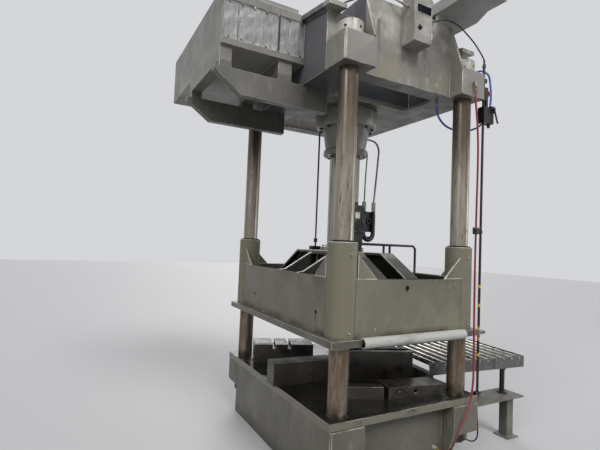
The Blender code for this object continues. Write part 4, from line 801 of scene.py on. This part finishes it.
coat = Finish("pale_plate", "b9babb").stain("8a8a88", 30, 0.45, 0.7).stain("5f5e5b", 70, 0.62, 0.75, shift=2)
pale_plate = coat.rough(0.35, 0.55, 20).dents(0.0002, 90).done()
plate("bend_clamp_plate", (0.272, 0.0450, 1.960), (0.423, 0.0520, 2.175), black_enamel, "press", "black_steel",
      0.002)
eye = [(0.016, 0.0), (0.031, 0.0), (0.031, 0.026), (0.029, 0.029), (0.025, 0.029), (0.023, 0.024),
       (0.016, 0.024)]
spun("bend_clamp_eye", eye, (BEND_X, 0.046, 2.075), (BEND_X, 0.0, 2.075), 40, black_enamel, "press",
     "black_steel", bored=True)
plate("coupling_blank_plate", (-0.024, -0.2470, 2.070), (0.030, -0.2445, 2.132), pale_plate, "slide",
      "black_steel")
plate("coupling_foot_block", (-0.022, -0.2460, 1.945), (0.052, -0.2445, 2.040), black_enamel, "slide",
      "black_steel")
coupling_screws = [((x, -0.2452, z), (0, -1, 0)) for x in (-0.017, 0.073) for z in (1.945, 2.055, 2.185)]
grown("coupling_screws", spots(coupling_screws), hexagons, "slide", "black_steel",
      Head_size=0.005, Head_height=0.004, Finish=bright_steel)

# SLIDE
# The moving platen: a welded box of panels between four bored sleeves, with two tapered beams and thin ribs
# across it. Its enamel is smooth on the panels, chipped by the edges and oily at the holes. Shade is painted
# dark inside the box and on its ribs, and near black between and under the beams.
SLIDE_FOOT, PANEL_TOP = 1.130, 1.555
coat = enamel("slide_enamel", "6b685d", "797669", "58554a", "37332b")
coat.stain("a8a596", 50, 0.70, 0.76).stain("2b2722", 36, 0.73, 0.78, shift=4)
left_panel = coat.along("X", -0.69, -0.70)
coat.over("3a342a", coat.run_below("Y", 0.523, 1.270, 0.09, 0.018), left_panel)
coat.over("3a342a", coat.run_below("Y", -0.706, 1.274, 0.12, 0.016), left_panel)
coat.over("3a342a", coat.run_below("X", -0.057, 1.482, 0.05, 0.014), coat.along("Y", -1.00, -1.01))
coat.over("4b473c", coat.along("Z", 1.19, 1.13), coat.cloud(5, 0.35, 0.6))
coat.over("b9b5a6", coat.cloud(34, 0.655, 0.685, (1, 1, 0.8), 7, 15.0), coat.cloud(2.6, 0.5, 0.6, shift=9))
# Painted shade: dark inside the box and on the ribs above it, near black under the beams' sloping flanges and
# in the middle gap between the beams.
coat.over("24221d", coat.inside((-0.690, -0.990, 1.128), (0.690, 0.990, 1.545), 0.006))
sleeves = coat.by_columns(COLUMN_X, COLUMN_Y, 0.1142, 0.1165)
coat.over("2c2b26", coat.inside((-0.672, -0.965, 1.128), (0.672, 0.965, 1.700), 0.018),
          coat.span(sleeves, 1.0, 0.0))
coat.over("716e60", sleeves, coat.cloud(3, 0.15, 0.5, (1, 1, 0.4), shift=12), coat.along("Z", 1.126, 1.150))
coat.over("191713", coat.inside((-0.262, -0.990, 1.128), (0.262, 0.990, 1.726), 0.002),
          coat.under_slope(0.6, 2.012))
coat.over("0e0d0b", coat.inside((-0.104, -0.900, 1.128), (0.104, 0.900, 1.742), 0.002))
coat.fix(Coat_Weight=0.0, Specular_IOR_Level=0.3).rough(0.38, 0.54, 4).dents(0.0010, 12).dents(0.0003, 160)
slide_finish = coat.done()
# The slide's pale bevel finish: chipped paint, and a painted highlight along the panels' top edges too.
coat = Finish("slide_edge", "c6c3b8", 0.1).stain("8f8c80", 7, 0.48, 0.68).stain("e0ded6", 26, 0.55, 0.75)
slide_edge = coat.rough(0.3, 0.5, 20).dents(0.0004, 90).done()
dressed("slide_frame", slide_finish, "press_paint", slide_edge, 0.0038)

slide_seams = []
for sx in (-1, 1):
    for sy in (-1, 1):
        for x, y in ((0.706, 0.842), (0.554, 1.014)):
            slide_seams.append([(sx * x, sy * y, SLIDE_FOOT), (sx * x, sy * y, PANEL_TOP)])
    slide_seams.append([(sx * 0.706, -0.835, 1.129), (sx * 0.706, 0.835, 1.129)])
    slide_seams.append([(-0.550, sx * 1.015, 1.129), (0.550, sx * 1.015, 1.129)])
    slide_seams.append([(-0.550, sx * 0.992, 1.556), (-0.256, sx * 0.992, 1.556)])
coat = Finish("plug_rubber", "070707").stain("141311", 60, 0.5, 0.75).rough(0.5, 0.75, 40)
plug_rubber = coat.fix(Specular_IOR_Level=0.2).done()
for name, spot, way, size in (
    ("front_hole_plug", (-0.057, -1.0133, 1.489), (0, -1, 0), 0.0205),
    ("left_hole_plug_near", (-0.7037, -0.706, 1.282), (-1, 0, 0), 0.0140),
    ("left_hole_plug_far", (-0.7037, 0.523, 1.278), (-1, 0, 0), 0.0140),
):
    dished = [(size * 0.90, -0.006), (size * 0.90, 0.0), (size, 0.0003), (size * 1.02, 0.0012),
              (size * 0.93, 0.0020), (size * 0.80, 0.0012), (size * 0.70, 0.0004), (size * 0.25, 0.0002)]
    spun(name, dished, spot, Vector(spot) + Vector(way), 32, plug_rubber, "slide", "press_paint")
SLEEVE_TOP = 1.830
lip = [(0.0775, 0.0), (0.1010, 0.0), (0.1010, 0.004), (0.0985, 0.0085), (0.0900, 0.0105), (0.0835, 0.0065),
       (0.0800, 0.0125), (0.0775, 0.0135)]
nipple = [(0.0085, 0.0), (0.0085, 0.0055), (0.0075, 0.0062), (0.0042, 0.0066), (0.0038, 0.0105),
          (0.0052, 0.0120), (0.0052, 0.0142), (0.0030, 0.0160)]
for corner, (x, y) in CORNERS.items():
    spun(f"sleeve_wiper_{corner}", lip, (x, y, SLEEVE_TOP), (x, y, SLEEVE_TOP + 1), 72, plug_rubber, "slide",
         "press_paint", bored=True)
    side = -1 if y < 0 else 1
    for place, z in (("top", 1.740), ("foot", 1.172)):
        foot = Vector((x, y + side * 0.1115, z))
        spun(f"grease_nipple_{place}_{corner}", nipple, foot, foot + Vector((0, side, 0)), 24, bright_steel,
             "slide", "press_paint", squares=(0, 1, 2))
welds("slide_welds", slide_seams, slide_finish, "slide")

coat = enamel("plate_enamel", "504e45", "66645a", "3f3d35", "26231e").stain("a3a196", 18, 0.63, 0.74)
dressed("slide_plate", coat.rough(0.3, 0.5, 6).dents(0.0006, 50).done(), "press_paint", edge_wear_and_highlight, 0.0022)

# EDGE GUARD
# A slit tube of pale grey foam rubber, pushed over the front edge of the slide's plate so that nobody knocks
# their head on it. Its left end is open and shows the hollow, painted black as shade, and its underside is
# painted darker in patches as shade.
foam = Finish("guard_foam", "a4a6a1").stain("b9bab6", 7, 0.45, 0.7, (0.4, 1, 1))
foam.stain("8b8d86", 11, 0.5, 0.7, (0.3, 1, 1), 5, 3)
# Painted shade: darker in patches along the tube's underside, and black inside the hollow.
foam.over("5d5d57", foam.along("Z", 1.078, 1.060), foam.cloud(5, 0.2, 0.6)).stain("6b6a63", 26, 0.64, 0.76)
foam.over("0e0e0e", foam.inside((-0.504, -1.0785, 1.080), (0.559, -1.0, 1.118), 0.002))
foam.over("0e0e0e", foam.inside((-0.504, -1.0670, 1.072), (0.559, -1.0, 1.1262), 0.001))
foam = foam.rough(0.45, 0.65, 14).dents(0.0008, 30, (0.4, 1, 1)).dents(0.0003, 200).done()


def foam_guard(low_x, high_x, centre_y, centre_z, outer, inner, lip):
    """The slit tube, with soft dents along it, as one closed shell."""
    section = []
    for step in range(37):
        angle = math.radians(42 + 276 * step / 36)
        section.append((outer * math.cos(angle), outer * math.sin(angle), angle))
    section.append((0.004, -lip, None))
    for step in range(19):
        angle = math.radians(268 - 176 * step / 18)
        section.append((inner * math.cos(angle), inner * math.sin(angle), None))
    section.append((0.004, lip, None))
    bm = bmesh.new()
    rows = []
    count = 90
    for row in range(count + 1):
        x = low_x + (high_x - low_x) * row / count
        dent = 0.0012 * math.sin(x * 23) + 0.0010 * math.sin(x * 41 + 1.3) + 0.0006 * math.sin(x * 97 + 0.4)
        dent -= 0.0030 * max(0.0, 1 - min(x - low_x, high_x - x) / 0.006) ** 2
        ring = []
        for y, z, angle in section:
            push = 0.0 if angle is None else min(0.0, dent - 0.0012) * max(0.0, -math.cos(angle) + 0.3)
            share = 1 + push / outer
            ring.append(bm.verts.new((x, centre_y + y * share, centre_z + z * share)))
        rows.append(ring)
    size = len(section)
    for a, b in zip(rows, rows[1:]):
        for i in range(size):
            bm.faces.new((a[i], a[(i + 1) % size], b[(i + 1) % size], b[i]))
    for ring in (rows[0], rows[-1][::-1]):
        bm.faces.new(ring)
    bmesh.ops.triangulate(bm, faces=[f for f in bm.faces if len(f.verts) > 4])
    return settle("edge_guard_tube", mesh_of(bm, foam, 50), "slide", "guard_grey", "edge_guard")


foam_guard(-0.5045, 0.5595, -1.050, 1.0991, 0.0415, 0.0290, 0.0272)
for node in ("slide_rail", "indicator_rod", "rod_guide"):
    dressed(node, black_enamel, "black_steel", black_wear, 0.0008, 50)

# BASE AND BED
# The base is the crown's twin, standing on the floor, with a thick bed plate on it that is black and
# shiny with oil on top and painted on its edges.
coat = enamel("base_enamel", "58564d", "69675e", "47443c", "2c2922").stain("a8a596", 45, 0.70, 0.76)
coat.over("3f3b31", coat.along("Z", 0.16, 0.0)).rough(0.34, 0.52, 5).dents(0.0010, 12).dents(0.0003, 150)
base_finish = coat.done()
dressed("base_frame", base_finish, "press_paint", edge_wear_and_highlight, 0.003)
base_seams = [[(sx * x, sy * y, 0.275), (sx * x, sy * y, 0.500)]
              for sx in (-1, 1) for sy in (-1, 1) for x, y in ((0.4875, 0.9185), (0.754, 0.795))]
welds("base_welds", base_seams, base_finish, "press")

coat = Finish("oily_bed", "131211", 0.2, coat=0.22).stain("2a2824", 3, 0.45, 0.7)
coat.stain("0d0c0b", 2.2, 0.5, 0.68, shift=5).stain("48443d", 20, 0.64, 0.78).stain("8a8578", 90, 0.74, 0.8)
coat.over("6d6a5d", coat.along("Z", 0.5585, 0.5560), coat.cloud(6, 0.2, 0.5))
bed_steel = coat.rough(0.16, 0.46, 4).dents(0.0006, 40).done()
coat = Finish("bed_edge", "8f8c80", 0.2).stain("4a463c", 6, 0.42, 0.62).stain("b9b6aa", 24, 0.55, 0.75)
bed_edge = coat.rough(0.3, 0.5).done()
dressed("bed_plate", bed_steel, "bed_steel", bed_edge, 0.0035)
coat = enamel("shelf_enamel", "4f4d46", "6a6860", "35332e", "23211d").rough(0.34, 0.55, 6).dents(0.0006, 60)
dressed("side_shelf", coat.done(), "bed_steel", bed_edge, 0.002)

# OIL TANK
# A sheet steel tank hangs on two tapered brackets at the crown's left. Its front is closed by a mottled zinc
# cover with two joints, held by clips along its top and bottom, with shade painted dark in its right joint and
# along its top.
coat = enamel("tank_enamel", "6d6c67", "83817a", "575651", "38352e")
coat.over("74726b", coat.along("Z", 3.40, 3.31)).rough(0.36, 0.55, 4).dents(0.004, 2.5).dents(0.0004, 120)
dressed("oil_tank", coat.done(), "press_paint", edge_wear_and_highlight, 0.002)
coat = enamel("bracket_enamel", "575550", "6b6963", "434139", "2b2822").rough(0.36, 0.55, 5)
bracket_enamel = coat.dents(0.0006, 50).done()
for node in ("tank_bracket_front", "tank_bracket_rear"):
    dressed(node, bracket_enamel, "press_paint", edge_wear_and_highlight, 0.0025)
zinc = Finish("mottled_zinc", "878888", 0.10).stain("a2a3a2", 16, 0.46, 0.66, (2.2, 1, 0.35))
zinc.stain("6d6d6a", 20, 0.52, 0.7, (2.6, 1, 0.3), 6, 3.0).stain("bcbcb8", 34, 0.6, 0.74, (1, 1, 0.6), 5, 6.0)
# Painted shade: dark in the joint between the middle and right sheets, and darker in patches along the top
# under the rim and clips.
zinc.over("4b4a47", zinc.inside((-1.012, -1, 3), (-0.993, 0, 4), 0.004))
zinc.over("4b4a47", zinc.along("Z", 3.650, 3.672), zinc.cloud(9, 0.35, 0.6))
zinc.stain("5a564d", 11, 0.62, 0.76, (2.0, 1, 0.2), 5, 8.0).rough(0.42, 0.60, 12)
zinc = zinc.dents(0.0015, 9).dents(0.0005, 70).done()
zinc_edge = Finish("zinc_edge", "55524b", 0.3).stain("b9b8b3", 22, 0.5, 0.65).rough(0.3, 0.5).done()


def zinc_panels(spans, low_z, high_z, back, face):
    """Three sheets with folded rims, buckled between the clips, in one mesh of closed shells."""
    bm = bmesh.new()
    columns, lines = 40, 22
    row = lines + 1
    for low_x, high_x in spans:
        front, rear = [], []
        for i in range(columns + 1):
            for j in range(row):
                x = low_x + (high_x - low_x) * i / columns
                z = low_z + (high_z - low_z) * j / lines
                flat = max(0.0, 1 - min(x - low_x, high_x - x, z - low_z, high_z - z) / 0.010)
                buckle = (0.0014 * math.sin(x * 37 + z * 9) + 0.0011 * math.sin(z * 43 - x * 17 + 2)
                          + 0.0008 * math.sin(x * 83 + 1) * math.sin(z * 61))
                y = face + 0.0035 - min(0.0034, max(-0.003, buckle)) * (1 - flat) - 0.0034 * flat
                front.append(bm.verts.new((x, y, z)))
                rear.append(bm.verts.new((x, back, z)))
        for i in range(columns):
            for j in range(lines):
                a, b, c, d = i * row + j, (i + 1) * row + j, (i + 1) * row + j + 1, i * row + j + 1
                bm.faces.new((front[a], front[b], front[c], front[d]))
                bm.faces.new((rear[d], rear[c], rear[b], rear[a]))
        rim_loop = ([i * row for i in range(columns)] + [columns * row + j for j in range(lines)]
                    + [i * row + lines for i in range(columns, 0, -1)] + [j for j in range(lines, 0, -1)])
        for a, b in zip(rim_loop, rim_loop[1:] + rim_loop[:1]):
            bm.faces.new((front[b], front[a], rear[a], rear[b]))
    return settle("tank_zinc_cover", mesh_of(bm, zinc, 45), "press", "galvanised_sheet", "tank_cover")


zinc_panels(((-1.4795, -1.3590), (-1.3570, -1.0035), (-0.9985, -0.7605)), 3.3650, 3.6700, -0.4305, -0.4465)


def clip_tree(finish):
    """A spring clip on every point: a folded tongue that laps over the sheet's rim."""
    clip = Growth("cover_clips", {"Width": 0.016, "Height": 0.030, "Depth": 0.012, "Finish": finish})
    width, height, depth = (clip.given[label] for label in ("Width", "Height", "Depth"))
    parts = clip.add("GeometryNodeJoinGeometry")
    for wide, high, deep, rise in ((1.0, 1.0, 0.30, -0.30), (1.0, 0.22, 1.0, 0.0), (0.55, 0.18, 0.45, -0.40)):
        size = clip.add("ShaderNodeCombineXYZ", clip.scaled(width, wide), clip.scaled(depth, deep),
                        clip.scaled(height, high))
        spot = clip.add("ShaderNodeCombineXYZ", Y=clip.scaled(depth, rise))
        block = clip.add("GeometryNodeMeshCube", Size=size.outputs[0])
        shift = clip.add("GeometryNodeTransform", block.outputs["Mesh"], Translation=spot.outputs[0])
        clip.feed(parts.inputs[0], shift.outputs[0])
    return clip.on_points(parts.outputs[0])


FIRST_CLIP, CLIP_PITCH = -1.430, 0.105
clip_spots = []
for number in range(7):
    for z in (3.3700, 3.6640):
        clip_spots.append(((FIRST_CLIP + CLIP_PITCH * number, -0.4430, z), (0, -1, 0)))
grown("tank_cover_clips", spots(clip_spots), clip_tree(zinc_edge), "press", "galvanised_sheet",
      Finish=zinc_edge)

# CONTROL BOX
# A light grey sheet box on the crown's front end plate, with a hinged door, a dark window and a
# black quarter-turn latch.
coat = Finish("box_grey", "8f8d89", coat=0.1).stain("aaa8a2", 8, 0.45, 0.7)
coat.stain("6f6c61", 5, 0.5, 0.7, shift=3).stain("c6c4ba", 60, 0.66, 0.76)
coat.stain("4e4b42", 14, 0.66, 0.78, shift=8).rough(0.38, 0.55, 9)
box_grey = coat.dents(0.0012, 12).dents(0.0002, 300).done()
dressed("control_box", box_grey, "control_box_grey", edge_wear_and_highlight, 0.0015)
dressed("control_box_door", box_grey, "control_box_grey", edge_wear_and_highlight, 0.0015)
dressed("control_box_latch", black_enamel, "black_steel", black_wear, 0.0015)
coat = Finish("dark_glass", "0d1119").stain("171e2a", 10, 0.45, 0.7).stain("2a2e34", 50, 0.68, 0.78)
dark_glass = coat.fix(Specular_IOR_Level=0.08).rough(0.30, 0.45, 12).done()
plate("control_box_window", (-0.0895, -1.0668, 3.6905), (0.0655, -1.0640, 3.7595), dark_glass, "door",
      "black_steel", 0.0008)
for place, low_x, high_x, front, low_z, high_z in (
    ("top", -0.0940, 0.0700, -1.0715, 3.7585, 3.7650), ("foot", -0.0940, 0.0700, -1.0715, 3.6850, 3.6915),
    ("left", -0.0940, -0.0880, -1.0712, 3.6900, 3.7600), ("right", 0.0640, 0.0700, -1.0712, 3.6900, 3.7600),
):
    plate("window_rim_" + place, (low_x, front, low_z), (high_x, -1.0675, high_z), pale_plate, "door",
          "control_box_grey", 0.0010)
knuckle = [(0.0035, 0.0), (0.0048, 0.0012), (0.0048, 0.0130), (0.0044, 0.0134), (0.0044, 0.0146),
           (0.0048, 0.0150), (0.0048, 0.0270), (0.0035, 0.0280)]
for place, z in (("top", 3.780), ("middle", 3.620), ("foot", 3.500)):
    spun(f"door_hinge_{place}", knuckle, (0.0795, -1.0660, z), (0.0795, -1.0660, z + 1), 20, black_bolt, "door",
         "control_box_grey")
collar = [(0.0205, 0.0), (0.0225, 0.0004), (0.0225, 0.0022), (0.0205, 0.0034), (0.0110, 0.0036)]
spun("latch_collar", collar, (-0.056, -1.0675, 3.571), (-0.056, -1.08, 3.571), 32, black_enamel, "door",
     "black_steel")
box_screws = [((x, -1.0723, z), (0, -1, 0)) for x in (-0.103, 0.0625) for z in (3.4640, 3.8555)]
grown("control_box_screws", spots(box_screws), hexagons, "door", "control_box_grey",
      Head_size=0.0036, Head_height=0.0016, Finish=bright_steel)

# DECK
# A platform of plain steel plate, carried by the crown over its front right corner. Its enamel is a
# little paler than the crown's.
coat = enamel("deck_enamel", "9a9a9a", "b0afad", "807f7c", "55534f").rough(0.36, 0.55, 5).dents(0.0008, 30)
dressed("crown_deck", coat.done(), "crown_paint", edge_wear_and_highlight, 0.003)

# SCALE ROD AND VALVE
# A black rod beside the front right column carries the slide's stop marks and, near its top, a
# small valve with a red knob and a lever.
for node in ("scale_rod", "scale_clamp_top", "scale_clamp_foot", "valve_body", "valve_lever", "table_post"):
    dressed(node, black_enamel, "black_steel", black_wear, 0.001, 50)
coat = Finish("yellow_band", "c9a62c").stain("8f7a2c", 60, 0.45, 0.7).stain("3c3522", 90, 0.6, 0.74)
yellow_band = coat.rough(0.35, 0.55, 30).done()
tape = [(0.0112, 0.0), (0.0119, 0.0004), (0.0119, 0.0250), (0.0117, 0.0252), (0.0121, 0.0256),
        (0.0121, 0.0275), (0.0112, 0.0280)]
for number, z in enumerate((1.492, 1.326, 1.128, 1.033, 0.894)):
    spun(f"scale_mark_{number + 1}", tape, (SCALE_X, SCALE_Y, z - 0.014), (SCALE_X, SCALE_Y, z + 0.014), 24,
         yellow_band, "press", "black_steel")


def ring_tree(finish):
    """A thin raised ring round the rod at every point."""
    ring = Growth("rod_rings", {"Ring size": 0.0118, "Ring height": 0.003, "Finish": finish})
    band = ring.add("GeometryNodeMeshCylinder", Vertices=24, Radius=ring.given["Ring size"],
                    Depth=ring.given["Ring height"])
    return ring.on_points(band.outputs["Mesh"])


FIRST_RING, RING_PITCH = 0.62, 0.025
ring_spots = [((SCALE_X, SCALE_Y, FIRST_RING + RING_PITCH * number), (0, 0, 1)) for number in range(38)]
grown("scale_rod_rings", spots(ring_spots), ring_tree(black_wear), "press", "black_steel", Finish=black_wear)
plate("hose_clamp_block", (0.626, -1.0980, 1.948), (0.668, -1.0560, 2.010), black_enamel, "press",
      "black_steel", 0.004)
plate("hose_clamp_tie", (0.6235, -1.1005, 2.000), (0.6705, -1.0535, 2.006), pale_plate, "press", "black_steel",
      0.001)
arm = [(0.0040, 0.0), (0.0048, 0.001), (0.0048, 0.158), (0.0040, 0.159)]
spun("hose_clamp_arm", arm, (0.660, -1.0700, 1.976), (0.803, -1.0010, 1.976), 16, black_enamel, "press",
     "black_steel")
boss = [(0.0110, 0.0), (0.0165, 0.0010), (0.0165, 0.0220), (0.0150, 0.0240), (0.0110, 0.0245)]
spun("hose_clamp_boss", boss, (SCALE_X, SCALE_Y, 1.964), (SCALE_X, SCALE_Y, 2.0), 32, black_enamel, "press",
     "black_steel")
knob_red = Finish("red_knob", "a3202a", coat=0.3).stain("6a1219", 40, 0.45, 0.7).rough(0.2, 0.4, 20)
dressed("valve_knob", knob_red.done(), "knob_red", None, 0.002, 50)

# ROLLER TABLE
# A gravity roller table on a post and a shelf, pushed up to the bed: two channels with steel rollers
# between them, each on an axle with a nut at both ends.
coat = enamel("table_enamel", "4b4b4b", "666564", "353433", "201f1e").rough(0.34, 0.55, 6).dents(0.0006, 60)
dressed("table_frame", coat.done(), "press_paint", edge_wear_and_highlight, 0.0015)
TABLE_TURN, FIRST_ROLLER, ROLLER_PITCH = math.radians(-6.72), 0.075, 0.105
table_corner = Vector((0.550, -0.685, 0.735))
table_along = Vector((math.cos(TABLE_TURN), math.sin(TABLE_TURN), 0))
table_out = Vector((-math.sin(TABLE_TURN), math.cos(TABLE_TURN), 0))
axle_nuts = []
for number in range(11):
    across = table_along * (FIRST_ROLLER + ROLLER_PITCH * number)
    for far, way in ((-0.0005, -table_out), (0.7505, table_out)):
        axle_nuts.append((tuple(table_corner + across + table_out * far), tuple(way)))
grown("roller_axle_nuts", spots(axle_nuts), hexagons, "press", "press_paint", Head_size=0.0085,
      Head_height=0.006, Finish=bright_steel)
coat = Finish("roller_tube", "a8a6a0", 0.75).stain("6a665d", 12, 0.48, 0.7)
roller_steel = coat.stain("cfcdc8", 20, 0.55, 0.75, shift=4).rough(0.22, 0.42, 10).dents(0.0003, 90).done()
for number in range(1, 12):
    dressed(f"roller_{number:02d}", roller_steel, "roller_steel", None, 0.001, 50)

# TOOLING ON THE BED
# Loose steel blocks and bars that lie on the bed, dark with oil, with ground faces showing in places.
# Nothing fixes them there but their own weight.
coat = Finish("tool_steel", "37332d", 0.35, coat=0.15).stain("474239", 4, 0.45, 0.7)
coat.stain("1e1b18", 3, 0.5, 0.7, shift=5).stain("8f897c", 26, 0.62, 0.78)
tool_steel = coat.rough(0.24, 0.5, 7).dents(0.0005, 60).done()
tool_edge = Finish("tool_edge", "8c867a", 0.6).stain("3f3a33", 12, 0.45, 0.65).rough(0.25, 0.45).done()
for node in ("die_block", "bored_bar", "long_block", "slotted_block", "short_bar"):
    dressed(node, tool_steel, "tool_steel", tool_edge, 0.0025)
